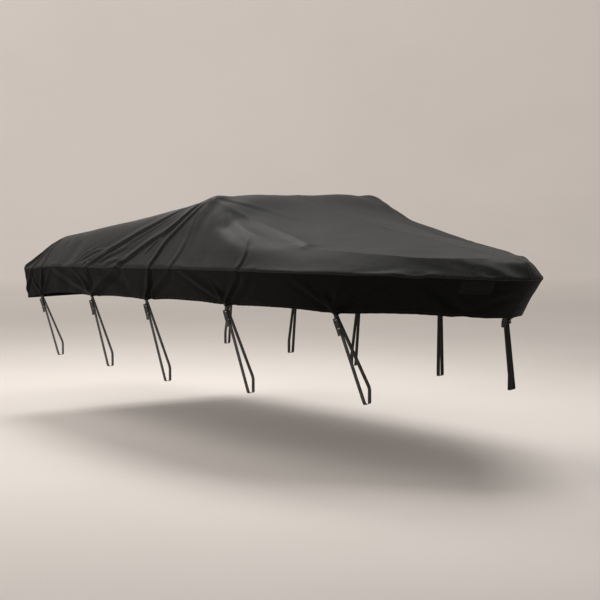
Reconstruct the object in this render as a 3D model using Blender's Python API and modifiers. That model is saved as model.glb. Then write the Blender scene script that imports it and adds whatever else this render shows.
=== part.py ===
"""Fitted boat cover of woven cloth, pulled tight by webbing straps.

The frame: the origin is the mount under the cover's crest, where what it covers
holds it up. X runs to the bow, Y to port and Z up. Everything is in metres.

The cover is one smooth skin. Its stations go round half of the plan, from the
middle of the stern to the middle of the bow. Each station is a section of five
points: hem, gunwale, shoulder, brow and ridge. Folds push the skin along its
normal, and the four panels are cut out of it and thickened. Each strap is sewn
to the hem, runs down and round the foot of its loop, and comes back up to the
buckle on its tab.
"""
from collections import namedtuple

import bmesh
import bpy
import numpy as np
from mathutils import Matrix, Vector

# ---------------------------------------------------------------- sizes
CLOTH = 0.002            # coated cloth, seams and all
GAP = 0.0004             # air between two pieces that touch
SEAM = 0.0004            # half of the air along the middle seam
LAP = 0.012              # how far the top reaches down over the skirt
CROWN = 0.0025           # the crest's outer face above the mount
WEBBING = 0.0018         # webbing, thickness
STRAP_WIDTH = 0.036
SEWN = 0.028             # how far webbing is sewn up inside the hem
SEWN_GAP = 0.0005        # air between the hem and the webbing sewn to it
HEM_TO_BUCKLE = 0.026    # from the hem down to a buckle's top
BUCKLE_OUT = 0.013       # and out from the line of the strap
TAIL = 0.034             # a strap's free end, below its buckle
BOW_LOOP = 0.060         # how far the bow loop hangs
BUCKLE = (0.050, 0.014, 0.078)     # along the hem, through, up
BUCKLE_BAR = 0.006       # a buckle's end bar, and its slots
BUCKLE_PLAY = 0.0006     # air between a buckle and the webbing round its bars
LOOP_FOOT = (0.036, 0.098)         # inside of the foot of a strap's loop: across, tall
PATCH_X = 2.19           # the blank patch: where it starts, and how many facets it spans
PATCH_FACETS = 3
PATCH_TOP = 0.002        # from the lap down to the patch
PATCH_CLOTH = 0.001

# ---------------------------------------------------------------- the skin
# g is the gunwale, h the hem, s the shoulder and c the ridge. y is half a breadth, and z is
# from the crest. drop is from the gunwale down to the hem. rise is how much of the height
# from shoulder to ridge the brow has, at a quarter of the way in.
Station = namedtuple("Station", "gx gy gz hx hy drop sx sy sz cx cz rise")
STATIONS = [
    #           gx     gy      gz      hx     hy   drop      sx     sy      sz      cx      cz  rise
    Station(-2.615, 0.000, -0.602, -2.600, 0.000, 0.246, -2.345, 0.000, -0.345, -2.020, -0.318, 0.60),
    Station(-2.615, 0.500, -0.602, -2.600, 0.490, 0.248, -2.345, 0.420, -0.345, -1.980, -0.316, 0.60),
    Station(-2.612, 0.840, -0.604, -2.600, 0.815, 0.252, -2.330, 0.640, -0.347, -1.900, -0.312, 0.60),
    Station(-2.580, 0.930, -0.604, -2.572, 0.903, 0.250, -2.290, 0.700, -0.345, -1.820, -0.308, 0.60),
    Station(-2.480, 0.945, -0.600, -2.476, 0.915, 0.234, -2.205, 0.716, -0.339, -1.720, -0.300, 0.60),
    Station(-2.285, 0.957, -0.580, -2.283, 0.917, 0.226, -2.030, 0.736, -0.322, -1.620, -0.278, 0.60),
    Station(-1.815, 0.988, -0.553, -1.813, 0.935, 0.220, -1.680, 0.765, -0.282, -1.420, -0.244, 0.60),
    Station(-1.345, 1.016, -0.537, -1.343, 0.951, 0.228, -1.275, 0.785, -0.235, -1.140, -0.186, 0.60),
    Station(-0.915, 1.036, -0.524, -0.913, 0.962, 0.226, -0.890, 0.790, -0.185, -0.840, -0.130, 0.60),
    Station(-0.515, 1.047, -0.511, -0.514, 0.962, 0.232, -0.510, 0.780, -0.130, -0.500, -0.078, 0.62),
    Station(-0.200, 1.051, -0.499, -0.200, 0.959, 0.232, -0.200, 0.758, -0.080, -0.200, -0.036, 0.68),
    Station(0.000, 1.053, -0.493, 0.000, 0.957, 0.234, 0.000, 0.735, -0.034, 0.000, -0.002, 0.78),
    Station(0.070, 1.053, -0.491, 0.070, 0.955, 0.235, 0.066, 0.752, -0.072, 0.058, -0.010, 0.76),
    Station(0.150, 1.053, -0.489, 0.150, 0.953, 0.236, 0.140, 0.784, -0.112, 0.120, -0.026, 0.72),
    Station(0.330, 1.050, -0.485, 0.330, 0.944, 0.240, 0.310, 0.830, -0.206, 0.300, -0.078, 0.50),
    Station(0.580, 1.038, -0.480, 0.570, 0.925, 0.243, 0.560, 0.866, -0.268, 0.520, -0.132, 0.34),
    Station(0.950, 0.994, -0.475, 0.925, 0.885, 0.245, 0.880, 0.830, -0.322, 0.850, -0.192, 0.30),
    Station(1.250, 0.908, -0.473, 1.195, 0.810, 0.250, 1.130, 0.746, -0.345, 1.100, -0.232, 0.30),
    Station(1.490, 0.792, -0.474, 1.410, 0.710, 0.254, 1.330, 0.660, -0.357, 1.300, -0.260, 0.30),
    Station(1.680, 0.665, -0.478, 1.590, 0.595, 0.252, 1.500, 0.575, -0.366, 1.450, -0.281, 0.32),
    Station(1.860, 0.522, -0.481, 1.755, 0.470, 0.250, 1.670, 0.480, -0.374, 1.600, -0.301, 0.34),
    Station(2.020, 0.392, -0.484, 1.915, 0.360, 0.248, 1.820, 0.390, -0.382, 1.740, -0.319, 0.36),
    Station(2.178, 0.290, -0.488, 2.045, 0.262, 0.247, 2.005, 0.288, -0.390, 1.880, -0.337, 0.40),
    Station(2.302, 0.198, -0.492, 2.148, 0.172, 0.247, 2.172, 0.189, -0.395, 2.000, -0.355, 0.45),
    Station(2.393, 0.108, -0.494, 2.198, 0.088, 0.248, 2.286, 0.101, -0.399, 2.080, -0.364, 0.50),
    Station(2.420, 0.000, -0.494, 2.215, 0.000, 0.248, 2.356, 0.000, -0.401, 2.118, -0.368, 0.55),
]
FIRST_BESIDE = 4         # the first station along the side, past the stern's corner
BROW_IN = 0.25           # where the brow lies, from shoulder to ridge
SECTION = (0.0, 0.27, 0.45, 1.0)    # gunwale, shoulder, brow and ridge along a section

# Columns of the mesh round half of the plan: to this x, this far apart.
Run = namedtuple("Run", "to_x step")
RUNS = [Run(-2.56, 0.130), Run(-2.30, 0.070), Run(0.42, 0.078), Run(1.50, 0.100), Run(9.0, 0.056)]

# ---------------------------------------------------------------- tie-downs
# x of each tie on the hem, and the foot of its strap's loop: x, half breadth and underside
Tie = namedtuple("Tie", "name x foot_x foot_y foot_z")
TIES = [
    Tie("aft", -2.295, -2.190, 0.802, -1.293),
    Tie("quarter", -1.375, -1.290, 0.842, -1.300),
    Tie("mid", -0.525, -0.440, 0.842, -1.330),
    Tie("cowl", 0.475, 0.610, 0.827, -1.306),
    Tie("bow", 1.405, 1.590, 0.612, -1.290),
]
HEM_PULL = 0.010         # how far a tie pulls the hem down, and how far along it
HEM_REACH = 0.17
TIE_FACET = 0.019        # half the width of the flat facet that a tie is sewn to

# ---------------------------------------------------------------- folds
# A fold runs from (x0, h0) to (x1, h1): x, and height along the skin above the gunwale,
# which is below nought on the skirt. lift is its height at each end, half its half width.
Fold = namedtuple("Fold", "side x0 h0 x1 h1 half lift0 lift1")
STARBOARD, PORT, BOTH = -1, 1, 0
FOLDS = [
    # side       x0     h0      x1     h1    half   lift0   lift1
    # from the crest's corner down to the quarter tie
    Fold(STARBOARD, -0.06, 0.46, -1.36, 0.02, .045, .006, .017),
    Fold(STARBOARD, -0.06, 0.44, -1.30, -0.20, .050, .006, .013),
    # and to the mid tie
    Fold(STARBOARD, -0.05, 0.42, -0.52, -0.20, .045, .006, .016),
    Fold(STARBOARD, -0.22, 0.24, -0.50, -0.22, .040, .004, .013),
    Fold(PORT, -0.06, 0.46, -1.30, -0.05, .048, .007, .015),
    Fold(PORT, -0.06, 0.42, -0.62, -0.20, .045, .006, .015),
    Fold(PORT, -0.16, 0.30, -0.44, -0.20, .042, .004, .012),
    # from the aft shoulder's corner down to the aft tie
    Fold(STARBOARD, -2.08, 0.33, -2.30, -0.16, .050, .008, .013),
    Fold(STARBOARD, -1.98, 0.30, -2.02, -0.15, .055, .006, .009),
    Fold(PORT, -2.06, 0.32, -2.27, -0.18, .050, .008, .012),
    Fold(PORT, -1.84, 0.28, -1.96, -0.14, .055, .005, .009),
    # from the cowl and bow ties up over the shoulder
    Fold(STARBOARD, 0.70, 0.22, 0.48, -0.20, .045, .006, .014),
    Fold(STARBOARD, 0.92, 0.08, 0.52, -0.19, .045, .004, .010),
    Fold(STARBOARD, 1.72, 0.04, 1.47, -0.20, .050, .006, .018),
    Fold(STARBOARD, 1.12, 0.00, 1.40, -0.20, .045, .003, .009),
    Fold(PORT, 0.66, 0.20, 0.50, -0.20, .045, .006, .013),
    Fold(PORT, 1.66, 0.05, 1.46, -0.20, .050, .006, .016),
    # the brow below the crest's corner, and the hollow beside it
    Fold(STARBOARD, 0.02, 0.55, 1.05, 0.30, .080, .008, .016),
    Fold(STARBOARD, 0.30, 0.40, 1.00, 0.24, .070, -.014, -.008),
    # slack between the ties
    Fold(STARBOARD, -1.10, 0.06, -0.80, -0.10, .060, -.006, -.008),
    Fold(PORT, -1.00, 0.10, -0.92, -0.14, .060, -.006, -.008),
    Fold(BOTH, -1.72, 0.20, -1.80, -0.20, .080, -.010, -.006),
    Fold(STARBOARD, 1.98, -0.03, 1.80, -0.20, .050, .003, .007),
]


def spline(knots, values, at):
    """A smooth cubic through the values at the knots, read at the given places."""
    knots = np.asarray(knots, float)
    values = np.asarray(values, float)
    at = np.asarray(at, float)
    slopes = np.gradient(values, knots, axis=0)
    i = np.clip(np.searchsorted(knots, at, side="right") - 1, 0, len(knots) - 2)
    shape = (-1,) + (1,) * (values.ndim - 1)
    width = (knots[i + 1] - knots[i]).reshape(shape)
    t = (at - knots[i]).reshape(shape) / width
    return (
        (2 * t**3 - 3 * t**2 + 1) * values[i]
        + (t**3 - 2 * t**2 + t) * width * slopes[i]
        + (3 * t**2 - 2 * t**3) * values[i + 1]
        + (t**3 - t**2) * width * slopes[i + 1]
    )


def station_points():
    """Hem, gunwale, shoulder, brow and ridge of each station, as (station, 5, 3)."""
    s = np.array(STATIONS)
    gunwale = s[:, [0, 1, 2]]
    hem = np.stack([s[:, 3], s[:, 4], s[:, 2] - s[:, 5]], axis=1)
    shoulder = s[:, [6, 7, 8]]
    ridge = np.stack([s[:, 9], 0 * s[:, 9], s[:, 10]], axis=1)
    brow = shoulder + BROW_IN * (ridge - shoulder)
    brow[:, 2] = shoulder[:, 2] + s[:, 11] * (ridge[:, 2] - shoulder[:, 2])
    points = np.stack([hem, gunwale, shoulder, brow, ridge], axis=1)
    points[..., 2] += CROWN
    return points


def mirrored(points):
    """The same points on the other side of the cover's middle plane."""
    return points * (1, -1, 1)


def plan_columns():
    """Places along the gunwale where the skin has a column: station number, as a float.

    Two columns stand either side of each tie, so that its webbing lies on one flat facet.
    """
    points = station_points()
    fine = np.linspace(0, len(points) - 1, 4001)
    gunwale = spline(np.arange(len(points)), points[:, 1], fine)
    length = np.concatenate([[0], np.cumsum(np.linalg.norm(np.diff(gunwale, axis=0), axis=1))])
    steps = np.full(len(fine), RUNS[-1].step)
    for run in reversed(RUNS):
        steps[gunwale[:, 0] <= run.to_x] = run.step
    density = np.concatenate([[0], np.cumsum(np.diff(length) / steps[1:])])
    count = int(round(density[-1]))
    columns = np.interp(np.linspace(0, density[-1], count + 1), density, fine)
    hem_x = sections(fine)[:, 0, 0]
    beside = fine >= FIRST_BESIDE
    for tie in TIES:
        edges = (tie.x - TIE_FACET, tie.x, tie.x + TIE_FACET)
        near = np.interp(edges, hem_x[beside], fine[beside])
        reach = 1.6 * (near[2] - near[1])
        columns = columns[np.abs(columns - near[1]) > reach]
        columns = np.sort(np.concatenate([columns, near[[0, 2]]]))
    return columns


def sections(columns):
    """The five section points at each column, smooth round the plan and over its ends."""
    points = station_points()
    ends = np.concatenate([mirrored(points[1:2]), points, mirrored(points[-2:-1])])
    gunwale = ends[:, 1]
    chord = np.concatenate([[0], np.cumsum(np.linalg.norm(np.diff(gunwale, axis=0), axis=1))])
    where = np.interp(columns, np.arange(-1, len(points) + 1), chord)
    out = spline(chord, ends, where)
    out[0, :, 1] = 0
    out[-1, :, 1] = 0
    return out


def hem_pull(hem):
    """How far each hem point is below the straight hem: down at a tie, up between two."""
    x = hem[:, 0]
    pull = sum(np.exp(-((x - tie.x) / HEM_REACH) ** 2) for tie in TIES)
    return HEM_PULL * (pull - 0.4) * np.exp(-(np.maximum(x - 1.8, 0) / 0.2) ** 2)


def skin(columns, rows):
    """The skin's points at each column and row, as (column, row, 3).

    A row from -1 to 0 goes from the hem to the gunwale, and one from 0 to 1 goes from
    the gunwale to the ridge.
    """
    part = sections(columns)
    rows = np.asarray(rows, float)
    hem, gunwale = part[:, 0], part[:, 1]
    hem = hem - hem_pull(hem)[:, None] * (0, 0, 1)
    below = np.clip(rows, -1, 0)[None, :, None]
    skirt = gunwale[:, None] + below * (gunwale - hem)[:, None]
    over = np.concatenate([part[:, 1:], mirrored(part[:, [3]])], axis=1)
    knots = SECTION + (2 - SECTION[2],)
    top = spline(knots, over.transpose(1, 0, 2), np.clip(rows, 0, 1)).transpose(1, 0, 2)
    return np.where(rows[None, :, None] < 0, skirt, top)


def normals(points, closed=True):
    """Unit normals of a grid of points, outward on the positive-Y side.

    Where closed is true, both ends of the grid lie on the middle plane.
    """
    out = np.cross(np.gradient(points, axis=1), np.gradient(points, axis=0))
    out[0, -1] = out[0, -2]
    out[-1, -1] = out[-1, -2]
    if not closed:
        return out / np.linalg.norm(out, axis=2)[..., None]
    out[0, :, 1] = 0
    out[-1, :, 1] = 0
    return out / np.linalg.norm(out, axis=2)[..., None]


def push_ways(points, rows):
    """The way a fold pushes each point: the normal, turned slowly over the gunwale's edge."""
    out = normals(points)
    rows = np.asarray(rows)
    end = int(np.searchsorted(rows, SECTION[1] - 1e-6))
    share = ((rows[:end] + 1) / (SECTION[1] + 1))[None, :, None]
    out[:, :end] = out[:, :1] * (1 - share) + out[:, end:end + 1] * share
    return out / np.linalg.norm(out, axis=2)[..., None]


def fold_height(side, x, h):
    """How far the folds push the skin out, at x and height h along the skin."""
    out = np.zeros_like(x)
    for fold in FOLDS:
        if fold.side not in (BOTH, side):
            continue
        run = np.array((fold.x1 - fold.x0, fold.h1 - fold.h0))
        length = np.hypot(*run)
        dx = x - fold.x0
        dh = h - fold.h0
        along = (dx * run[0] + dh * run[1]) / length**2
        off = (dx * run[1] - dh * run[0]) / length
        past = np.maximum(np.maximum(-along, along - 1), 0) * length
        lift = fold.lift0 + (fold.lift1 - fold.lift0) * np.clip(along, 0, 1)
        ridge = np.exp(-((off / fold.half) ** 2))
        trough = 0.5 * np.exp(-(((np.abs(off) - 1.9 * fold.half) / fold.half) ** 2))
        out += lift * (ridge - trough) * np.exp(-((past / 0.06) ** 2))
    return out


def folded_skin(side, columns, rows):
    """The skin of one side with its folds, and its outward normals, both (column, row, 3)."""
    points = skin(columns, rows)
    steps = np.linalg.norm(np.diff(points, axis=1), axis=2)
    height = np.concatenate([np.zeros((len(points), 1)), np.cumsum(steps, axis=1)], axis=1)
    height -= height[:, [int(np.argmin(np.abs(rows)))]]
    lift = fold_height(side, points[..., 0], height)
    lift *= np.clip(np.abs(points[..., 1]) / 0.10, 0, 1)
    for tie in TIES:
        left = int(np.argmin(np.abs(points[:, 0, 0] - (tie.x - TIE_FACET))))
        lift[left:left + 2, :2] = lift[left:left + 2, :2].mean()
    points = points + push_ways(points, rows) * lift[..., None]
    out = normals(points)
    flip = np.array((1, side, 1))
    return points * flip, out * flip


# ---------------------------------------------------------------- helpers
def collection(name):
    """A new collection in the scene."""
    made = bpy.data.collections.new(name)
    bpy.context.scene.collection.children.link(made)
    return made


def material(name, colour, roughness):
    """A plain Principled material."""
    made = bpy.data.materials.new(name)
    made.use_nodes = True
    shader = made.node_tree.nodes["Principled BSDF"]
    shader.inputs["Base Color"].default_value = (*colour, 1)
    shader.inputs["Roughness"].default_value = roughness
    return made


def surface(name, points, look, outward, thickness, home, offset=-1):
    """A grid of points as an open surface, thickened by Solidify: inward, or both ways."""
    columns, rows = points.shape[:2]
    index = np.arange(columns * rows).reshape(columns, rows)
    faces = np.stack([index[:-1, :-1], index[1:, :-1], index[1:, 1:], index[:-1, 1:]], axis=-1)
    faces = faces.reshape(-1, 4)
    if outward:
        faces = faces[:, ::-1]
    mesh = bpy.data.meshes.new(name)
    mesh.from_pydata(points.reshape(-1, 3).tolist(), [], faces.tolist())
    mesh.materials.append(look)
    made = bpy.data.objects.new(name, mesh)
    home.objects.link(made)
    shell = made.modifiers.new("thickness", "SOLIDIFY")
    shell.thickness = thickness
    shell.offset = offset
    shell.use_even_offset = offset == 0
    return made


def hem_at(skirt, x):
    """Where a tie is sewn to a skirt's hem: a point, outward normal, way along and way up."""
    left = int(np.argmin(np.abs(skirt[:, 0, 0] - (x - TIE_FACET))))
    corners = [Vector(p) for p in skirt[left:left + 2, :2].reshape(-1, 3)]
    point = (corners[0] + corners[2]) / 2
    along = (corners[2] - corners[0]).normalized()
    up = ((corners[1] + corners[3]) / 2 - point).normalized()
    out = along.cross(up).normalized()
    if out.y * point.y < 0:
        out = -out
    return point, out, along, up


def rounded(path):
    """A path of (point, radius) with each inner corner cut to an arc of three points."""
    out = [path[0][0]]
    for (before, _), (corner, radius), (after, _) in zip(path, path[1:], path[2:]):
        back = before - corner
        on = after - corner
        reach = min(radius, back.length * 0.45, on.length * 0.45)
        start = corner + back.normalized() * reach
        end = corner + on.normalized() * reach
        for t in (0.0, 0.5, 1.0):
            out.append((1 - t) ** 2 * start + 2 * t * (1 - t) * corner + t**2 * end)
    out.append(path[-1][0])
    return out


def ribbon(name, line, across, width, look, home):
    """A strip of webbing along a line of points; across is its width's way at each."""
    grid = [[tuple(p - w * width / 2), tuple(p + w * width / 2)] for p, w in zip(line, across)]
    return surface(name, np.array(grid), look, False, WEBBING, home, offset=0)


def buckle(name, centre, axes, look, home, cutters):
    """A ladder buckle: a plate with rounded corners and a slot behind each end bar."""
    wide, thick, tall = BUCKLE
    turned = Matrix(axes).transposed().to_4x4()
    turned.translation = centre
    plate = bmesh.new()
    bmesh.ops.create_cube(plate, size=1)
    bmesh.ops.scale(plate, vec=(wide, thick, tall), verts=plate.verts)
    through = [e for e in plate.edges if abs(e.verts[0].co.y - e.verts[1].co.y) > thick / 2]
    bmesh.ops.bevel(plate, geom=through, offset=0.009, segments=3, profile=0.5, affect="EDGES")
    slots = bmesh.new()
    for end in (-1, 1):
        box = bmesh.ops.create_cube(slots, size=1)["verts"]
        bmesh.ops.scale(slots, vec=(STRAP_WIDTH + 0.002, 2 * thick, BUCKLE_BAR), verts=box)
        bmesh.ops.translate(slots, vec=(0, 0, end * (tall / 2 - 1.5 * BUCKLE_BAR)), verts=box)
    objects = []
    for label, build, where in ((name, plate, home), ("slots_" + name, slots, cutters)):
        mesh = bpy.data.meshes.new(label)
        build.to_mesh(mesh)
        build.free()
        mesh.transform(turned)
        mesh.materials.append(look)
        made = bpy.data.objects.new(label, mesh)
        where.objects.link(made)
        objects.append(made)
    made, cutter = objects
    cutter.hide_render = True
    cutter.display_type = "WIRE"
    cut = made.modifiers.new("slots", "BOOLEAN")
    cut.operation = "DIFFERENCE"
    cut.object = cutter


def tie_down(side, tie, skirt, looks, home, cutters):
    """One tie: the tab, its buckle, and the strap with its long loop."""
    label = ("port_" if side == PORT else "starboard_") + tie.name
    point, out, across, up = hem_at(skirt, tie.x)
    foot = Vector((tie.foot_x, side * tie.foot_y, tie.foot_z))
    outboard = Vector((0, side * (LOOP_FOOT[0] + WEBBING) / 2, 0))
    top = Vector((0, 0, LOOP_FOOT[1]))
    under = Vector((0, 0, -WEBBING / 2))
    tab_in = -out * (CLOTH + SEWN_GAP + WEBBING / 2)
    strap_in = tab_in - out * (WEBBING + 2.5 * GAP)
    hang = (foot + top - point).normalized()
    away = (out - hang * out.dot(hang)).normalized()
    bar = point + hang * HEM_TO_BUCKLE + away * BUCKLE_OUT
    way = (foot + outboard + under - bar).normalized()
    fore = Vector((1, 0, 0))
    wide = (fore - way * fore.dot(way)).normalized()
    face = way.cross(wide).normalized()
    if face.dot(out) < 0:
        face = -face
    clear = WEBBING / 2 + BUCKLE_PLAY
    front = face * (BUCKLE[1] / 2 + clear)
    deep = way * (BUCKLE_BAR + clear)
    tab = [
        (point + up * SEWN + tab_in, 0),
        (point - up * 0.004 + tab_in, 0.003),
        (bar - front, 0.0015),
        (bar - front + deep, 0.0008),
        (bar + front + deep, 0.0008),
        (bar + front - way * clear, 0.0008),
        (bar - front * 0.3 - way * clear, 0),
    ]
    line = rounded(tab)
    turn = [across] * 4 + [wide] * (len(line) - 4)
    ribbon("tab_" + label, line, turn, STRAP_WIDTH - 0.002, looks["web"], home)
    axes = (wide, face, wide.cross(face))
    centre = bar + way * BUCKLE[2] / 2
    buckle("buckle_" + label, centre, axes, looks["plastic"], home, cutters)
    end = bar + way * BUCKLE[2]
    turned = point + hang * HEM_TO_BUCKLE + strap_in
    strap = [
        (point + up * SEWN + strap_in, 0),
        (point - up * 0.004 + strap_in, 0.003),
        (turned, 0.004),
        (foot - outboard + top, 0.015),
        (foot - outboard + under, 0.008),
        (foot + outboard + under, 0.008),
        (end - front + way * 0.004, 0.0015),
        (end - front - deep, 0.0008),
        (end + front - deep, 0.0008),
        (end + front + way * TAIL, 0),
    ]
    line = rounded(strap)
    turn = [across] * 4 + [wide] * (len(line) - 4)
    ribbon("strap_" + label, line, turn, STRAP_WIDTH, looks["web"], home)


def bow_loop(skirts, look, home):
    """A webbing loop: sewn inside the hem either side of the bow, it turns as it hangs."""
    ends = []
    for side in (STARBOARD, PORT):
        corners = skirts[side][-2:, :2]
        foot = Vector(corners[0, 0]).lerp(Vector(corners[1, 0]), 0.35)
        head = Vector(corners[0, 1]).lerp(Vector(corners[1, 1]), 0.35)
        along = (Vector(corners[1, 0]) - Vector(corners[0, 0])).normalized()
        up = (head - foot).normalized()
        out = along.cross(up).normalized()
        if out.x < 0:
            out = -out
        if along.y < 0:
            along = -along
        depth = -out * (CLOTH + SEWN_GAP + WEBBING / 2)
        ends.append((foot + up * SEWN + depth, foot - up * 0.006 + depth, along))
    low = Vector((ends[0][1].x - 0.035, 0, ends[0][1].z - BOW_LOOP))
    side_way = Vector((0, 0.008, 0))
    line = [ends[0][0], ends[0][1], ends[0][1].lerp(low - side_way, 0.5), low - side_way]
    line += [low + side_way, ends[1][1].lerp(low + side_way, 0.5), ends[1][1], ends[1][0]]
    fore = Vector((1, 0, 0))
    turn = [ends[0][2], ends[0][2], (ends[0][2] + fore).normalized(), fore]
    turn += [fore, (fore - ends[1][2]).normalized(), -ends[1][2], -ends[1][2]]
    ribbon("bow_loop", line, turn, STRAP_WIDTH - 0.005, look, home)


def patch(skirt, look, home):
    """The blank patch, on the skirt's own facets just below the lap."""
    first = int(np.argmin(np.abs(skirt[:, -1, 0] - PATCH_X)))
    grid = skirt[first:first + PATCH_FACETS + 1, 2:4].copy()
    up = grid[:, 1] - grid[:, 0]
    grid[:, 1] -= PATCH_TOP * up / np.linalg.norm(up, axis=1)[:, None]
    flip = np.array((1, -1, 1))
    out = normals(grid * flip, closed=False) * flip
    surface("patch_blank", grid + out * (GAP + PATCH_CLOTH), look, False, PATCH_CLOTH, home)


def main():
    """Builds the cover."""
    for old in list(bpy.data.objects):
        bpy.data.objects.remove(old, do_unlink=True)
    home = collection("boat_cover")
    cutters = collection("cutters")
    looks = {
        "cloth": material("cover_cloth", (0.020, 0.020, 0.021), 0.85),
        "patch": material("patch_cloth", (0.009, 0.009, 0.010), 0.70),
        "web": material("webbing", (0.010, 0.010, 0.010), 0.75),
        "plastic": material("buckle_plastic", (0.012, 0.012, 0.013), 0.45),
    }
    columns = plan_columns()
    part = sections(columns)
    lap = LAP / float(np.mean(np.linalg.norm(part[:, 1] - part[:, 0], axis=1)))
    skirt_rows = np.concatenate([np.linspace(-1, -lap, 4), [-0.25 * lap]])
    top_rows = np.concatenate([
        [-lap],
        np.linspace(0, SECTION[1], 5),
        np.linspace(SECTION[1], SECTION[2], 4)[1:],
        np.linspace(SECTION[2], 1, 6)[1:],
    ])
    rows = np.unique(np.concatenate([skirt_rows, top_rows]))
    skirts = {}
    for side in (STARBOARD, PORT):
        name = "port" if side == PORT else "starboard"
        points, out = folded_skin(side, columns, rows)
        top = points[:, np.isin(rows, top_rows)]
        skirt = (points - out * (CLOTH + GAP))[:, np.isin(rows, skirt_rows)]
        for grid in (top, skirt):
            half = grid * (1, side, 1)
            turned = CLOTH * np.abs(normals(half, closed=False)[..., 1])
            middle = half[..., 1] < SEAM
            grid[middle, 1] = side * (SEAM + turned[middle])
        surface("top_" + name, top, looks["cloth"], side == PORT, CLOTH, home)
        surface("skirt_" + name, skirt, looks["cloth"], side == PORT, CLOTH, home)
        skirts[side] = skirt
        for tie in TIES:
            tie_down(side, tie, skirt, looks, home, cutters)
    bow_loop(skirts, looks["web"], home)
    patch(skirts[STARBOARD], looks["patch"], home)


main()
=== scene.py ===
"""Looks of a fitted boat cover: black woven polyester, webbing tie-downs and buckles.

The cover is one skin, worked out as points over two parameters: round half of the
plan, and up the section from the hem to the ridge. Folds push it along its normal.
The four panels are cut from it, and the sewing follows its rows and columns.
"""
import math
from collections import namedtuple

import bpy
import numpy as np
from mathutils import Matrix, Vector


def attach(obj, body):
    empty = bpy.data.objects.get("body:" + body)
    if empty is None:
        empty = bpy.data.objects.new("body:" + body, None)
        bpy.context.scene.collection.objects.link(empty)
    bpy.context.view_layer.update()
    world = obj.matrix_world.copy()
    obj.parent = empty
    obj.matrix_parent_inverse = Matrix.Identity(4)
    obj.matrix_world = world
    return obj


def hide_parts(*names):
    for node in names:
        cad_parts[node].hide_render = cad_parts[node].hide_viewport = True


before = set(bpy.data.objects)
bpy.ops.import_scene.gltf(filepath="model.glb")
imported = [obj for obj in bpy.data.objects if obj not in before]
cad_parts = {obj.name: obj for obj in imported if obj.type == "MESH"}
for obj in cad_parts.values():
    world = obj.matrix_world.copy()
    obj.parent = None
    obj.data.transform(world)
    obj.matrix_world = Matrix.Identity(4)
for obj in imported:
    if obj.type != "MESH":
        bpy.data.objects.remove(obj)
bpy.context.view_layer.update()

STARBOARD, PORT, BOTH = -1, 1, 0
SIDE_NAMES = {STARBOARD: "starboard", PORT: "port"}

# ---------------------------------------------------------------- sizes, as in the part
CLOTH = 0.002            # thickness of a panel
GAP = 0.0004             # air between two pieces that touch
SEAM = 0.0004            # half of the air along the middle seam
LAP = 0.012              # how far the top reaches down over the skirt
CROWN = 0.0025           # the crest's outer face above the mount
WEBBING = 0.0018         # thickness of the webbing, and its widths
STRAP_WIDTH = 0.036
TAB_WIDTH = 0.034
BOW_WIDTH = STRAP_WIDTH - 0.005
SEWN = 0.028             # how far webbing is sewn up inside the hem
SEWN_GAP = 0.0005        # air between the hem and the webbing sewn to it
INSIDE_HEM = CLOTH * 2 + SEWN_GAP + WEBBING / 2     # from the hem's face in to the webbing
HEM_TO_BUCKLE = 0.026    # from the hem down to a buckle's top
BUCKLE_OUT = 0.013       # and out from the line of the strap
TAIL = 0.034             # a strap's free end, below its buckle
BOW_LOOP = 0.060         # how far the bow loop hangs, and how far from the middle it is sewn
BOW_OUT = 0.024
BUCKLE = (0.050, 0.014, 0.078)       # along the hem, through, up
BUCKLE_BAR = 0.006       # a buckle's end bar, and its slots
BUCKLE_PLAY = 0.0006     # air between a buckle and the webbing round its bars
BAR_BEND = 0.0014        # how closely webbing turns round a bar, and under the hem
HEM_BEND = 0.004
TAB_BEND = 0.0025        # above the buckle, and a strap's below it
STRAP_BEND = 0.003
FOOT_BEND = 0.012        # at the foot of a strap's loop
BOW_BEND = 0.006
EASY_BEND = 0.020        # where webbing only leans over
STRAP_TURN = 0.004       # from a buckle's foot down to the strap's bend
TAIL_OFF = (0.001, 0.0035)           # a tail stands off the strap: near its middle, at its end
LOOP_FOOT = (0.036, 0.098)           # inside of the foot of a strap's loop: across, tall
BOW_AFT = 0.035          # how far aft the bow loop hangs
PATCH_X = (2.135, 2.300)             # the blank patch: from and to, and below the lap
PATCH_BELOW = (0.006, 0.100)
PATCH_CLOTH = 0.0007     # its thickness, and how far its middle stands up
PATCH_CROWN = 0.0004

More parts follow.
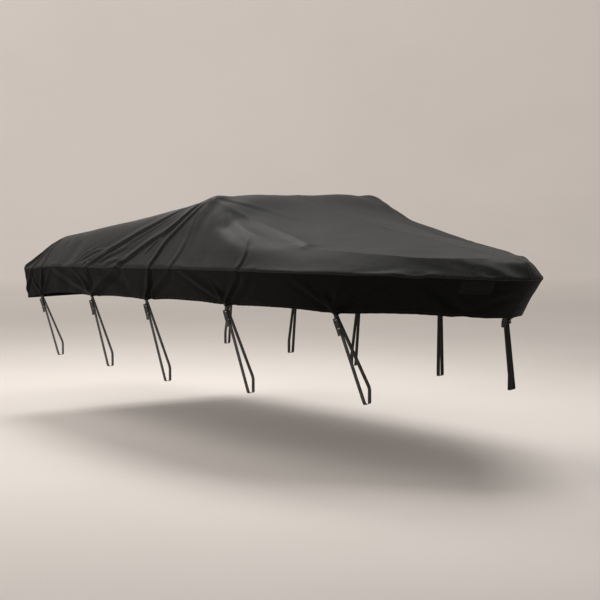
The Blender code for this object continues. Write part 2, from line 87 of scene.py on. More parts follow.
# Gunwale, hem, shoulder and ridge of each station; drop is from the gunwale to the hem, and
# rise says how far up from the shoulder to the ridge the brow is.
STATIONS = [
    #    gx     gy      gz      hx     hy   drop      sx     sy      sz      cx      cz  rise
    (-2.615, 0.000, -0.602, -2.600, 0.000, 0.246, -2.345, 0.000, -0.345, -2.020, -0.318, 0.60),
    (-2.615, 0.500, -0.602, -2.600, 0.490, 0.248, -2.345, 0.420, -0.345, -1.980, -0.316, 0.60),
    (-2.612, 0.840, -0.604, -2.600, 0.815, 0.252, -2.330, 0.640, -0.347, -1.900, -0.312, 0.60),
    (-2.580, 0.930, -0.604, -2.572, 0.903, 0.250, -2.290, 0.700, -0.345, -1.820, -0.308, 0.60),
    (-2.480, 0.945, -0.600, -2.476, 0.915, 0.234, -2.205, 0.716, -0.339, -1.720, -0.300, 0.60),
    (-2.285, 0.957, -0.580, -2.283, 0.917, 0.226, -2.030, 0.736, -0.322, -1.620, -0.278, 0.60),
    (-1.815, 0.988, -0.553, -1.813, 0.935, 0.220, -1.680, 0.765, -0.282, -1.420, -0.244, 0.60),
    (-1.345, 1.016, -0.537, -1.343, 0.951, 0.228, -1.275, 0.785, -0.235, -1.140, -0.186, 0.60),
    (-0.915, 1.036, -0.524, -0.913, 0.962, 0.226, -0.890, 0.790, -0.185, -0.840, -0.130, 0.60),
    (-0.515, 1.047, -0.511, -0.514, 0.962, 0.232, -0.510, 0.780, -0.130, -0.500, -0.078, 0.62),
    (-0.200, 1.051, -0.499, -0.200, 0.959, 0.232, -0.200, 0.758, -0.080, -0.200, -0.036, 0.68),
    (0.000, 1.053, -0.493, 0.000, 0.957, 0.234, 0.000, 0.735, -0.034, 0.000, -0.002, 0.78),
    (0.070, 1.053, -0.491, 0.070, 0.955, 0.235, 0.066, 0.752, -0.072, 0.058, -0.010, 0.76),
    (0.150, 1.053, -0.489, 0.150, 0.953, 0.236, 0.140, 0.784, -0.112, 0.120, -0.026, 0.72),
    (0.330, 1.050, -0.485, 0.330, 0.944, 0.240, 0.310, 0.830, -0.206, 0.300, -0.078, 0.50),
    (0.580, 1.038, -0.480, 0.570, 0.925, 0.243, 0.560, 0.866, -0.268, 0.520, -0.132, 0.34),
    (0.950, 0.994, -0.475, 0.925, 0.885, 0.245, 0.880, 0.830, -0.322, 0.850, -0.192, 0.30),
    (1.250, 0.908, -0.473, 1.195, 0.810, 0.250, 1.130, 0.746, -0.345, 1.100, -0.232, 0.30),
    (1.490, 0.792, -0.474, 1.410, 0.710, 0.254, 1.330, 0.660, -0.357, 1.300, -0.260, 0.30),
    (1.680, 0.665, -0.478, 1.590, 0.595, 0.252, 1.500, 0.575, -0.366, 1.450, -0.281, 0.32),
    (1.860, 0.522, -0.481, 1.755, 0.470, 0.250, 1.670, 0.480, -0.374, 1.600, -0.301, 0.34),
    (2.020, 0.392, -0.484, 1.915, 0.360, 0.248, 1.820, 0.390, -0.382, 1.740, -0.319, 0.36),
    (2.178, 0.290, -0.488, 2.045, 0.262, 0.247, 2.005, 0.288, -0.390, 1.880, -0.337, 0.40),
    (2.302, 0.198, -0.492, 2.148, 0.172, 0.247, 2.172, 0.189, -0.395, 2.000, -0.355, 0.45),
    (2.393, 0.108, -0.494, 2.198, 0.088, 0.248, 2.286, 0.101, -0.399, 2.080, -0.364, 0.50),
    (2.420, 0.000, -0.494, 2.215, 0.000, 0.248, 2.356, 0.000, -0.401, 2.118, -0.368, 0.55),
]
BROW_IN = 0.25           # how far in from the shoulder to the ridge the brow is
SECTION = (0.0, 0.27, 0.45, 1.0)     # rows of gunwale, shoulder, brow and ridge

# Each tie: where it is sewn to the hem, and the foot of its strap's loop.
Tie = namedtuple("Tie", "name x foot_x foot_y foot_z")
TIES = [
    Tie("aft", -2.295, -2.190, 0.802, -1.293),
    Tie("quarter", -1.375, -1.290, 0.842, -1.300),
    Tie("mid", -0.525, -0.440, 0.842, -1.330),
    Tie("cowl", 0.475, 0.610, 0.827, -1.306),
    Tie("bow", 1.405, 1.590, 0.612, -1.290),
]
HEM_PULL = 0.010         # how far a tie pulls the hem down, and how far along it shows
HEM_REACH = 0.17
HEM_LEVEL = 0.4          # the share of a pull by which the hem rises between two ties
HEM_CALM = (1.8, 0.2)    # the pulls fade out forward of this x, over this far
TIE_FACET = 0.019        # half the flat cloth that a tie is sewn to, and how far up it goes
TIE_FLAT = 0.045
STERN_CORNER = -2.45     # forward of this x the hem's points go steadily forward

# ---------------------------------------------------------------- the fine grid
# Columns of the mesh: up to this x, this far apart.
Run = namedtuple("Run", "to_x step")
RUNS = [
    Run(-2.590, 0.022),
    Run(-2.050, 0.0095),
    Run(-1.600, 0.0140),
    Run(-1.180, 0.0090),
    Run(-0.750, 0.0090),
    Run(0.050, 0.0080),
    Run(0.350, 0.0110),
    Run(0.800, 0.0090),
    Run(1.250, 0.0140),
    Run(1.700, 0.0090),
    Run(2.050, 0.0130),
    Run(9.000, 0.0100),
]
SKIRT_ROWS = 41          # rows from the hem to the lap, and on the lap
LAP_ROWS = 5
EDGE_ROWS = (0.0, 0.003, 0.006, 0.0095, 0.0135, 0.018)     # close rows above the gunwale
BAND_START = 0.0235
BAND_ROWS = 51           # rows from there to the shoulder, to the brow, and on to the seam
BROW_ROWS = 20
CROWN_ROWS = 30
SEAM_ROWS = (0.962, 0.974, 0.983, 0.988, 0.9915, 0.9945, 0.9972, 0.999, 1.0)
EDGE_ROUND = 0.018       # how far the bend at the gunwale is eased to each side

# ---------------------------------------------------------------- folds
# Each fold follows a line of (x, height above the gunwale), below nought on the skirt.
# half is half its width. lift is its height at the line's two ends. sharp runs from 0, a
# round fold, to 1, a keen one. lean makes it steeper on the line's left (+) or right (-).
# hollow is how deep the hollows beside it are, as a share of its height.
Fold = namedtuple("Fold", "line half lift sharp lean hollow", defaults=(0.5,))
FOLDS = {
    STARBOARD: (
        # tension from the crest's corner aft, down to the quarter tie
        (((-0.23, 0.549), (-0.45, 0.428), (-0.78, 0.275), (-1.14, 0.108), (-1.33, 0.005)),
         0.022, (0.006, 0.016), 0.9, 0.9),
        (((-0.15, 0.522), (-0.28, 0.35), (-0.54, 0.195), (-0.81, 0.0)), 0.022, (0.007, 0.018), 0.9, 0.9),
        (((-0.81, 0.0), (-1.02, -0.085), (-1.32, -0.2)), 0.028, (0.022, 0.019), 0.6, 0.8),
        # down to the mid tie
        (((-0.08, 0.492), (-0.18, 0.35), (-0.29, 0.2), (-0.34, 0.01), (-0.5, -0.225)),
         0.021, (0.007, 0.019), 0.9, 0.9),
        (((-0.06, 0.39), (-0.03, 0.12), (-0.07, -0.01), (-0.28, -0.13), (-0.49, -0.228)),
         0.022, (0.002, 0.014), 0.6, 0.6),
        (((-0.02, 0.46), (0.12, 0.3), (0.27, 0.08)), 0.034, (0.004, 0.003), 0.2, 0.3),
        (((-0.17, 0.49), (-0.24, 0.4), (-0.37, 0.27), (-0.47, 0.15)), 0.014, (0.002, 0.005), 0.6, 0.5),
        (((-0.24, 0.51), (-0.55, 0.33), (-0.8, 0.2)), 0.014, (0.003, 0.004), 0.6, 0.5),
        # crumpled cloth over the quarter tie
        (((-0.84, 0.16), (-1.13, 0.06)), 0.018, (0.005, 0.009), 0.5, 0.6),
        (((-0.74, 0.09), (-1.0, 0.03)), 0.018, (0.004, 0.009), 0.5, 0.6),
        (((-1.08, 0.155), (-1.24, 0.11), (-1.4, 0.04)), 0.013, (0.004, 0.006), 0.4, 0.4),
        (((-1.2, 0.15), (-1.34, 0.13), (-1.47, 0.07)), 0.012, (0.004, 0.005), 0.3, 0.4),
        (((-1.36, 0.165), (-1.5, 0.1), (-1.56, 0.04)), 0.013, (0.003, 0.004), 0.3, 0.0),
        (((-1.36, 0.005), (-1.35, -0.09), (-1.372, -0.205)), 0.016, (0.008, 0.014), 0.6, -0.9),
        (((-1.95, -0.02), (-1.7, -0.11), (-1.43, -0.195)), 0.032, (0.009, 0.014), 0.4, -0.4),
        (((-1.62, -0.01), (-1.5, -0.1), (-1.4, -0.195)), 0.018, (0.003, 0.007), 0.4, 0.0),
        # from the aft shoulder's corner
        (((-2.27, 0.35), (-2.41, 0.19), (-2.54, 0.03)), 0.02, (0.006, 0.014), 0.8, 0.6),
        (((-2.26, 0.34), (-2.34, 0.185), (-2.39, 0.01), (-2.54, -0.16)), 0.02, (0.006, 0.013), 0.8, 0.6),
        (((-2.24, 0.33), (-2.25, 0.18), (-2.2, 0.01), (-2.28, -0.19)), 0.019, (0.005, 0.016), 0.8, 0.8),
        (((-2.2, 0.35), (-2.03, 0.17), (-1.86, 0.01)), 0.026, (0.006, 0.006), 0.4, -0.6),
        (((-2.04, -0.01), (-2.14, -0.11), (-2.25, -0.195)), 0.02, (0.004, 0.012), 0.5, -0.3),
        (((-2.45, -0.06), (-2.39, -0.13), (-2.32, -0.2)), 0.016, (0.003, 0.009), 0.4, 0.0),
        (((-1.98, 0.25), (-1.8, 0.05)), 0.05, (-0.008, -0.005), 0.0, 0.0),
        # to the cowl tie
        (((0.66, 0.225), (0.735, 0.11), (0.73, -0.018), (0.62, -0.13), (0.51, -0.228)),
         0.019, (0.003, 0.016), 0.8, 0.8),
        (((0.86, -0.01), (0.73, -0.13), (0.53, -0.23)), 0.026, (0.004, 0.015), 0.5, 0.3),
        (((0.05, -0.01), (0.26, -0.127), (0.455, -0.225)), 0.03, (0.008, 0.014), 0.4, -0.5),
        (((0.36, -0.06), (0.42, -0.15), (0.468, -0.228)), 0.016, (0.001, 0.008), 0.4, 0.0),
        # to the bow tie
        (((1.18, -0.03), (1.3, -0.15), (1.385, -0.235)), 0.026, (0.005, 0.014), 0.4, -0.4),
        (((1.78, -0.006), (1.58, -0.1), (1.42, -0.235)), 0.03, (0.014, 0.024), 0.6, 0.9),
        (((1.55, 0.01), (1.47, -0.11), (1.41, -0.235)), 0.018, (0.001, 0.011), 0.45, 0.3),
        (((1.31, -0.03), (1.36, -0.13), (1.395, -0.235)), 0.015, (0.001, 0.008), 0.4, 0.0),
        # the nose
        (((1.9, -0.014), (1.98, -0.11), (2.05, -0.215)), 0.034, (-0.008, -0.014), 0.0, 0.0),
        (((1.8, -0.215), (1.92, -0.13), (1.96, -0.02)), 0.026, (0.008, 0.007), 0.3, 0.0),
        (((2.06, -0.24), (2.15, -0.19), (2.27, -0.13)), 0.026, (0.012, 0.009), 0.4, -0.6),
        (((2.02, -0.14), (2.05, -0.05)), 0.026, (-0.008, -0.005), 0.0, 0.0),
        (((2.2, 0.12), (2.3, 0.06), (2.36, 0.01)), 0.022, (0.004, 0.006), 0.4, 0.0),
        (((2.06, 0.18), (2.16, 0.11), (2.22, 0.02)), 0.02, (0.003, 0.003), 0.3, 0.0),
        # the brow forward of the crest's corner, and the hollow below it
        (((0.02, 0.56), (0.2, 0.535), (0.37, 0.535), (0.57, 0.505), (0.92, 0.393), (1.08, 0.298)),
         0.05, (0.008, 0.02), 0.8, -0.8, 0.0),
        (((0.04, 0.615), (0.17, 0.672), (0.29, 0.728), (0.48, 0.78)), 0.026, (0.006, 0.003), 0.5, -0.6, 0.3),
        (((0.34, 0.35), (0.54, 0.262), (0.7, 0.205)), 0.04, (-0.008, -0.004), 0.2, 0.0),
        # small creases that run into the middle seam near the nose
        (((2.26, 0.24), (2.31, 0.15), (2.36, 0.09)), 0.012, (0.003, 0.004), 0.5, 0.0),
        # slack between the ties
        (((-1.1, -0.03), (-0.8, -0.12)), 0.055, (-0.008, -0.012), 0.0, 0.0),
    ),
    PORT: (
        # pulled by the same ties, uneven in its own way
        (((-0.08, 0.59), (-0.52, 0.38), (-0.98, 0.16), (-1.3, -0.04)), 0.023, (0.005, 0.016), 0.85, 0.6),
        (((-1.3, -0.04), (-1.37, -0.2)), 0.024, (0.016, 0.016), 0.6, 0.4),
        (((-0.06, 0.54), (-0.36, 0.3), (-0.56, 0.04), (-0.54, -0.22)), 0.022, (0.006, 0.017), 0.85, 0.6),
        (((-0.05, 0.42), (-0.1, 0.15), (-0.22, -0.03), (-0.5, -0.225)), 0.022, (0.004, 0.014), 0.6, 0.6),
        (((-0.14, 0.56), (-0.5, 0.33), (-0.78, 0.17)), 0.014, (0.003, 0.003), 0.5, 0.3),
        (((-0.95, -0.01), (-0.74, -0.12), (-0.56, -0.215)), 0.026, (0.005, 0.014), 0.4, -0.4),
        (((-1.88, -0.01), (-1.64, -0.11), (-1.41, -0.2)), 0.03, (0.008, 0.015), 0.4, -0.3),
        (((-1.14, 0.0), (-1.24, -0.1), (-1.35, -0.2)), 0.02, (0.004, 0.011), 0.5, 0.3),
        (((-1.0, 0.19), (-1.2, 0.12), (-1.42, 0.03)), 0.015, (0.003, 0.006), 0.5, 0.3),
        (((-2.25, 0.345), (-2.38, 0.19), (-2.5, 0.02), (-2.55, -0.16)), 0.021, (0.006, 0.011), 0.7, 0.4),
        (((-2.23, 0.33), (-2.28, 0.16), (-2.29, -0.2)), 0.02, (0.006, 0.014), 0.7, 0.5),
        (((-2.17, 0.34), (-1.99, 0.15), (-1.9, 0.0), (-2.22, -0.195)), 0.025, (0.005, 0.008), 0.4, -0.4),
        (((0.62, 0.24), (0.68, 0.08), (0.66, -0.06), (0.5, -0.228)), 0.02, (0.003, 0.015), 0.7, 0.7),
        (((0.92, -0.01), (0.74, -0.12), (0.51, -0.23)), 0.025, (0.004, 0.014), 0.4, 0.2),
        (((0.1, -0.01), (0.3, -0.13), (0.46, -0.228)), 0.028, (0.007, 0.014), 0.4, -0.4),
        (((1.7, 0.0), (1.56, -0.12), (1.42, -0.235)), 0.028, (0.011, 0.022), 0.6, 0.8),
        (((1.18, -0.01), (1.31, -0.14), (1.39, -0.235)), 0.024, (0.005, 0.014), 0.4, -0.3),
        (((1.84, -0.215), (1.95, -0.12), (2.02, -0.02)), 0.026, (0.008, 0.005), 0.3, 0.0),
        (((2.02, -0.235), (2.14, -0.15), (2.26, -0.08)), 0.026, (0.008, 0.005), 0.3, 0.0),
        (((0.02, 0.56), (0.42, 0.54), (0.74, 0.47), (1.06, 0.31)), 0.036, (0.005, 0.009), 0.4, -0.4),
        (((-1.0, 0.1), (-0.92, -0.14)), 0.06, (-0.005, -0.007), 0.0, 0.0),
    ),
    BOTH: (
        # the keen edge of the shoulder, from the crest's corner to the nose
        (((0.26, 0.45), (0.38, 0.395), (0.51, 0.35), (0.67, 0.309), (0.85, 0.282), (1.05, 0.259),
          (1.3, 0.25), (1.62, 0.226), (2.14, 0.19)),
         0.04, (0.007, 0.013), 1.0, 0.0, 0.0),
        # small creases that run into the middle seam near the nose
        (((1.92, 0.54), (2.08, 0.36), (2.2, 0.26)), 0.012, (0.001, 0.004), 0.5, 0.4),
        (((2.04, 0.46), (2.16, 0.33), (2.24, 0.24)), 0.01, (0.001, 0.004), 0.5, 0.4),
        # slack between the ties
        (((-1.72, 0.2), (-1.8, -0.2)), 0.08, (-0.008, -0.006), 0.0, 0.0),
        # the stern
        (((-2.6, 0.02), (-2.5, 0.18), (-2.36, 0.32)), 0.03, (0.002, 0.004), 0.3, 0.0),
    ),
}
FOLD_FADE = 0.05         # how far a fold runs on past its line's ends
FOLD_STEPS = 14          # straight steps along a fold's line

# The cloth's own unevenness: how far apart its bumps are, and how high.
Ripple = namedtuple("Ripple", "spacing height seed")
RIPPLES = [Ripple(0.230, 0.0030, 3), Ripple(0.085, 0.0012, 5), Ripple(0.034, 0.00035, 8)]
RIPPLE_GRID = 64         # seeded values each way, used over and over
STRETCH = 1.7            # bumps are longer along the cover than up it
PORT_SHIFT = 9           # the port side reads the bumps this many metres on
CALM_MIDDLE = 0.10       # folds and bumps fade out this near the middle seam
CALM_EDGE = (0.6, 0.016)             # and lose this share at the gunwale, this far each way

# ---------------------------------------------------------------- sewing
HEM_TURN = 0.020         # the turned hem, and how much it thickens the cloth
HEM_RISE = 0.0008
HEM_STEP = 0.0012        # how softly its edge fades into the cloth
HEM_WAVE = (0.0010, 0.057, 0.030)    # how high the hem waves, how far apart, and how far up it shows
STRIP = (0.013, 0.0020, 0.0022)      # the felled strip by the middle seam: half width, height, groove
STITCH_PITCH = 0.0085    # from stitch to stitch, a stitch's length, and half its thickness
STITCH_LENGTH = 0.0060
STITCH_ROUND = 0.0006
LAP_STITCHES = (0.0035, 0.0085)      # the two rows on the lap, below the gunwale
SEAM_STITCHES = 0.0035   # from the middle seam
HEM_STITCHES = 0.017     # from the hem
EDGE_STITCHES = dict(pitch=0.0042, length=0.0032, thick=0.0004)      # round the patch
TACK = dict(pitch=0.0124, length=0.0120, thick=0.0009)               # a bar tack's stitches
TACK_ROWS = 9
TACK_STEP = 0.0011
TACK_UP = 0.013          # from the hem up to the tack's middle, and out from the cloth
TACK_OUT = 0.0006
PUCKER = (0.0007, 0.041)             # how high the cloth puckers along a seam, and how far apart
PUCKER_MIDDLE = (0.8, 0.050)         # their share and reach at the middle seam, and at the lap
PUCKER_LAP = (0.7, 0.035)

# ---------------------------------------------------------------- weaves and colours
WEAVE_PITCH = 0.0017     # from thread to thread of the cover's cloth
SLUBS = (35.0, 420.0)    # the cloth's thicker threads: how many to a metre along and across
RIB_PITCH = 0.0015       # from rib to rib of the webbing, and from thread to thread
THREAD_PITCH = 0.0022
HERRINGBONE = 0.005      # how wide the threads' slant goes before it turns back
WEB_EDGE = (0.0145, 0.0165)          # the paler edge: from and to, from the middle of the webbing
# Each as new, then as worn. The top and the skirt are one cloth: the top's tones are painted lighter as
# painted light, and the skirt's painted darker as painted shade.
TOP_TONES_PAINTED_LIT = (0.0062, 0.0065, 0.0068), (0.0168, 0.0172, 0.0177)
SKIRT_TONES_PAINTED_SHADE = (0.0019, 0.0022, 0.0024), (0.0052, 0.0056, 0.0058)
PATCH_TONES = (0.0030, 0.0031, 0.0032), (0.0056, 0.0057, 0.0058)
WEB_TONES = (0.0060, 0.0060, 0.0060), (0.016, 0.016, 0.016)

# ---------------------------------------------------------------- the view
EYE = Vector((9.313, -6.654, 0.057))
EYE_TURN = 0.9496        # turned to the left of looking along y, and tilted down, in radians
EYE_DOWN = 0.0710
LENS_MM = 95.02
FLOOR_Z = -1.765
FLOOR_FLAT, FLOOR_BEND = 22, 8        # flat out to here; then the bend's radius
WALL_OUT, WALL_UP = (30, 30), (12, 18)
BEHIND = (-1.0, 0.0, 0.0)            # the wall's glow grows this way, and fades near the cover
GLOW_RUN = (-8.0, 28.0)
GLOW_NEAR = (1.0, 9.5)
FLOOR_DARK = (0.66, 0.622, 0.585)
FLOOR_LIGHT = (0.70, 0.660, 0.622)
WALL_GLOW = (0.055, 0.365)
FLOOR_GLOW = 0.80
GLOW_COLOUR = (1.0, 0.908, 0.84)
SKY = (0.26, (1.0, 0.97, 0.94))

Lamp = namedtuple("Lamp", "name place aim size power colour")
LAMPS = [
    Lamp("overhead_box", (1.2, 1.1, 3.2), (0.4, 0.1, -0.5), (3.4, 2.0), 140, (1.0, 0.98, 0.96)),
    Lamp("stern_box", (-4.4, 0.7, 3.9), (-0.4, 0.0, -0.5), (2.2, 2.2), 175, (1.0, 0.98, 0.96)),
    Lamp("floor_wash", (-4.4, -4.6, 5.5), (-1.6, -2.0, -1.765), (5.5, 5.5), 320, (1.0, 0.96, 0.92)),
]


# ================================================================ the skin
def spline(knots, values, at):
    """A smooth cubic through the values at the knots, read at the given places."""
    knots = np.asarray(knots, float)
    values = np.asarray(values, float)
    at = np.asarray(at, float)
    slopes = np.gradient(values, knots, axis=0)
    i = np.clip(np.searchsorted(knots, at, side="right") - 1, 0, len(knots) - 2)
    shape = (-1,) + (1,) * (values.ndim - 1)
    width = (knots[i + 1] - knots[i]).reshape(shape)
    t = (at - knots[i]).reshape(shape) / width
    return (
        (2 * t**3 - 3 * t**2 + 1) * values[i]
        + (t**3 - 2 * t**2 + t) * width * slopes[i]
        + (3 * t**2 - 2 * t**3) * values[i + 1]
        + (t**3 - t**2) * width * slopes[i + 1]
    )


def mirrored(points):
    """The same points on the other side of the cover's middle plane."""
    return points * (1, -1, 1)


def unit(vectors):
    """The vectors at length one."""
    return vectors / np.linalg.norm(vectors, axis=-1)[..., None]


def lengths(points):
    """How far along its line each point is."""
    return np.concatenate([[0], np.cumsum(np.linalg.norm(np.diff(points, axis=0), axis=1))])


def heights(points):
    """How far up its column each point of a grid is."""
    steps = np.linalg.norm(np.diff(points, axis=1), axis=2)
    return np.concatenate([np.zeros((len(points), 1)), np.cumsum(steps, axis=1)], axis=1)


def station_points():
    """Hem, gunwale, shoulder, brow and ridge of each station, as (station, 5, 3)."""
    gx, gy, gz, hx, hy, drop, sx, sy, sz, cx, cz, rise = np.array(STATIONS).T
    hem, gunwale, shoulder, ridge = (
        np.stack(p, axis=1) for p in ((hx, hy, gz - drop), (gx, gy, gz), (sx, sy, sz), (cx, 0 * cx, cz)))
    brow = shoulder + BROW_IN * (ridge - shoulder)
    brow[:, 2] = sz + rise * (cz - sz)
    points = np.stack([hem, gunwale, shoulder, brow, ridge], axis=1)
    points[..., 2] += CROWN
    return points


def sections(columns):
    """The five section points at each column, smooth round the plan and over its ends."""
    points = station_points()
    ends = np.concatenate([mirrored(points[1:2]), points, mirrored(points[-2:-1])])
    chord = lengths(ends[:, 1])
    where = np.interp(columns, np.arange(-1, len(points) + 1), chord)
    out = spline(chord, ends, where)
    out[0, :, 1] = 0
    out[-1, :, 1] = 0
    return out


def plan_columns():
    """Station numbers, as floats, whose gunwale points lie as far apart as RUNS says."""
    points = station_points()
    fine = np.linspace(0, len(points) - 1, 8001)
    gunwale = spline(np.arange(len(points)), points[:, 1], fine)
    steps = np.full(len(fine), RUNS[-1].step)
    for run in reversed(RUNS):
        steps[gunwale[:, 0] <= run.to_x] = run.step
    density = np.concatenate([[0], np.cumsum(np.diff(lengths(gunwale)) / steps[1:])])
    count = 2 * int(round(density[-1] / 2))
    return np.interp(np.linspace(0, density[-1], count + 1), density, fine)


def hem_pull(hem):
    """How far each hem point is below the straight hem: down at a tie, up between two."""
    x = hem[:, 0]
    pull = sum(np.exp(-((x - tie.x) / HEM_REACH) ** 2) for tie in TIES)
    return HEM_PULL * (pull - HEM_LEVEL) * np.exp(-(np.maximum(x - HEM_CALM[0], 0) / HEM_CALM[1]) ** 2)


def skin(columns, rows):
    """The smooth skin at each column and row: rows -1 to 0 are the skirt, 0 to 1 the top."""
    part = sections(columns)
    hem, gunwale = part[:, 0], part[:, 1]
    hem = hem - hem_pull(hem)[:, None] * (0, 0, 1)
    below = np.clip(rows, -1, 0)[None, :, None]
    skirt = gunwale[:, None] + below * (gunwale - hem)[:, None]
    over = np.concatenate([part[:, 1:], mirrored(part[:, [3]])], axis=1)
    knots = SECTION + (2 - SECTION[2],)
    top = spline(knots, over.transpose(1, 0, 2), np.clip(rows, 0, 1)).transpose(1, 0, 2)
    return np.where(rows[None, :, None] < 0, skirt, top)


def normals(points, closed=True):
    """Unit normals of a grid: the cross product of its two directions' differences."""
    out = np.cross(np.gradient(points, axis=1), np.gradient(points, axis=0))
    out[0, -1] = out[0, -2]
    out[-1, -1] = out[-1, -2]
    if closed:
        out[0, :, 1] = 0
        out[-1, :, 1] = 0
    return unit(out)


def push_ways(points, rows):
    """The way a fold pushes each point: the normal, turned slowly over the gunwale's edge."""
    out = normals(points)
    end = int(np.searchsorted(rows, SECTION[1] - 1e-6))
    share = ((rows[:end] + 1) / (SECTION[1] + 1))[None, :, None]
    out[:, :end] = out[:, :1] * (1 - share) + out[:, end:end + 1] * share
    return unit(out)


def eased(points, edge):
    """The grid with its keen edge at the gunwale eased: within EDGE_ROUND of the edge each
    point moves to (1 - t)^2 * below + 2 t (1 - t) * edge + t^2 * above."""
    up = heights(points)
    up = up - up[:, [edge]]
    below, above = (
        points[:, edge] + unit(points[:, edge + k] - points[:, edge]) * EDGE_ROUND for k in (-1, 1))
    t = np.clip((up / EDGE_ROUND + 1) / 2, 0, 1)[..., None]
    curve = (1 - t) ** 2 * below[:, None] + 2 * t * (1 - t) * points[:, [edge]] + t**2 * above[:, None]
    return np.where((np.abs(up) < EDGE_ROUND)[..., None], curve, points)


# ================================================================ folds and ripples
def fold_line(line):
    """A fold's listed points as a smooth line of FOLD_STEPS straight steps."""
    line = np.array(line, float)
    length = lengths(line)
    at = np.linspace(0, length[-1], FOLD_STEPS + 1)
    if len(line) > 2:
        return spline(length, line, at)
    return line[:1] + at[:, None] / length[-1] * (line[1:] - line[:1])


def one_fold(fold, x, h):
    """lift * (exp(-(d / half)^(2 - sharp)) - hollows), d being the distance from its line.

    The lift goes evenly from one end's to the other's, and fades past both ends. The
    hollows lie 1.9 half widths out, and are as deep as the share hollow of it. A lean of 1
    makes the half width 0.55 as wide and the hollow 1.6 times as deep on the line's left,
    and the other way on its right.
    """
    line = fold_line(fold.line)
    nearest = np.full(x.shape, 1e9)
    side, along, past = np.zeros((3,) + x.shape)
    last = len(line) - 2
    for i, (a, b) in enumerate(zip(line[:-1], line[1:])):
        run = b - a
        size = float(np.hypot(*run))
        t = ((x - a[0]) * run[0] + (h - a[1]) * run[1]) / size**2
        inside = np.clip(t, -9.0 if i == 0 else 0.0, 9.0 if i == last else 1.0)
        dx, dh = x - a[0] - inside * run[0], h - a[1] - inside * run[1]
        distance = np.hypot(dx, dh)
        closer = distance < nearest
        nearest = np.where(closer, distance, nearest)
        side = np.where(closer, np.sign(run[0] * dh - run[1] * dx), side)
        along = np.where(closer, (i + np.clip(t, 0, 1)) / (last + 1), along)
        over = np.maximum(-t if i == 0 else 0, t - 1 if i == last else 0)
        past = np.where(closer, np.maximum(over, 0) * size, past)
    lift = fold.lift[0] + (fold.lift[1] - fold.lift[0]) * along
    wide = fold.half * (1 - 0.45 * fold.lean * side)
    ridge = np.exp(-((nearest / wide) ** (2 - fold.sharp)))
    hollow = fold.hollow * (1 + 0.6 * fold.lean * side) * np.exp(-(((nearest - 1.9 * wide) / wide) ** 2))
    return lift * (ridge - hollow) * np.exp(-((past / FOLD_FADE) ** 2))


def fold_height(side, x, h):
    """How far all the folds of one side push the skin out, at x and height h."""
    out = np.zeros_like(x)
    for fold in FOLDS[side] + FOLDS[BOTH]:
        fold = Fold(*fold)
        reach = 4 * fold.half + 2 * FOLD_FADE
        low, high = np.min(fold.line, axis=0) - reach, np.max(fold.line, axis=0) + reach
        near = (x > low[0]) & (x < high[0]) & (h > low[1]) & (h < high[1])
        out[near] += one_fold(fold, x[near], h[near])
    return out


def ripple(x, h, spacing, seed):
    """Smooth uneven bumps between -1 and 1: seeded values on a grid, blended by cubic steps."""
    values = np.random.default_rng(seed).uniform(-1, 1, (RIPPLE_GRID, RIPPLE_GRID))
    u = np.asarray(x) / (spacing * STRETCH) + 31
    v = np.asarray(h) / spacing + 17
    i, j = np.floor(u).astype(int), np.floor(v).astype(int)
    s, t = u - i, v - j
    s, t = s * s * (3 - 2 * s), t * t * (3 - 2 * t)
    low, low_on, high, high_on = (
        values[(i + a) % RIPPLE_GRID, (j + b) % RIPPLE_GRID] for b in (0, 1) for a in (0, 1))
    return (low * (1 - s) + low_on * s) * (1 - t) + (high * (1 - s) + high_on * s) * t


def tie_share(x, from_hem):
    """How much each point belongs to the flat cloth that a tie is sewn to, from 0 to 1."""
    near = sum(np.exp(-(((x - tie.x) / (1.25 * TIE_FACET)) ** 4)) for tie in TIES)
    return near * np.exp(-((from_hem / TIE_FLAT) ** 4))


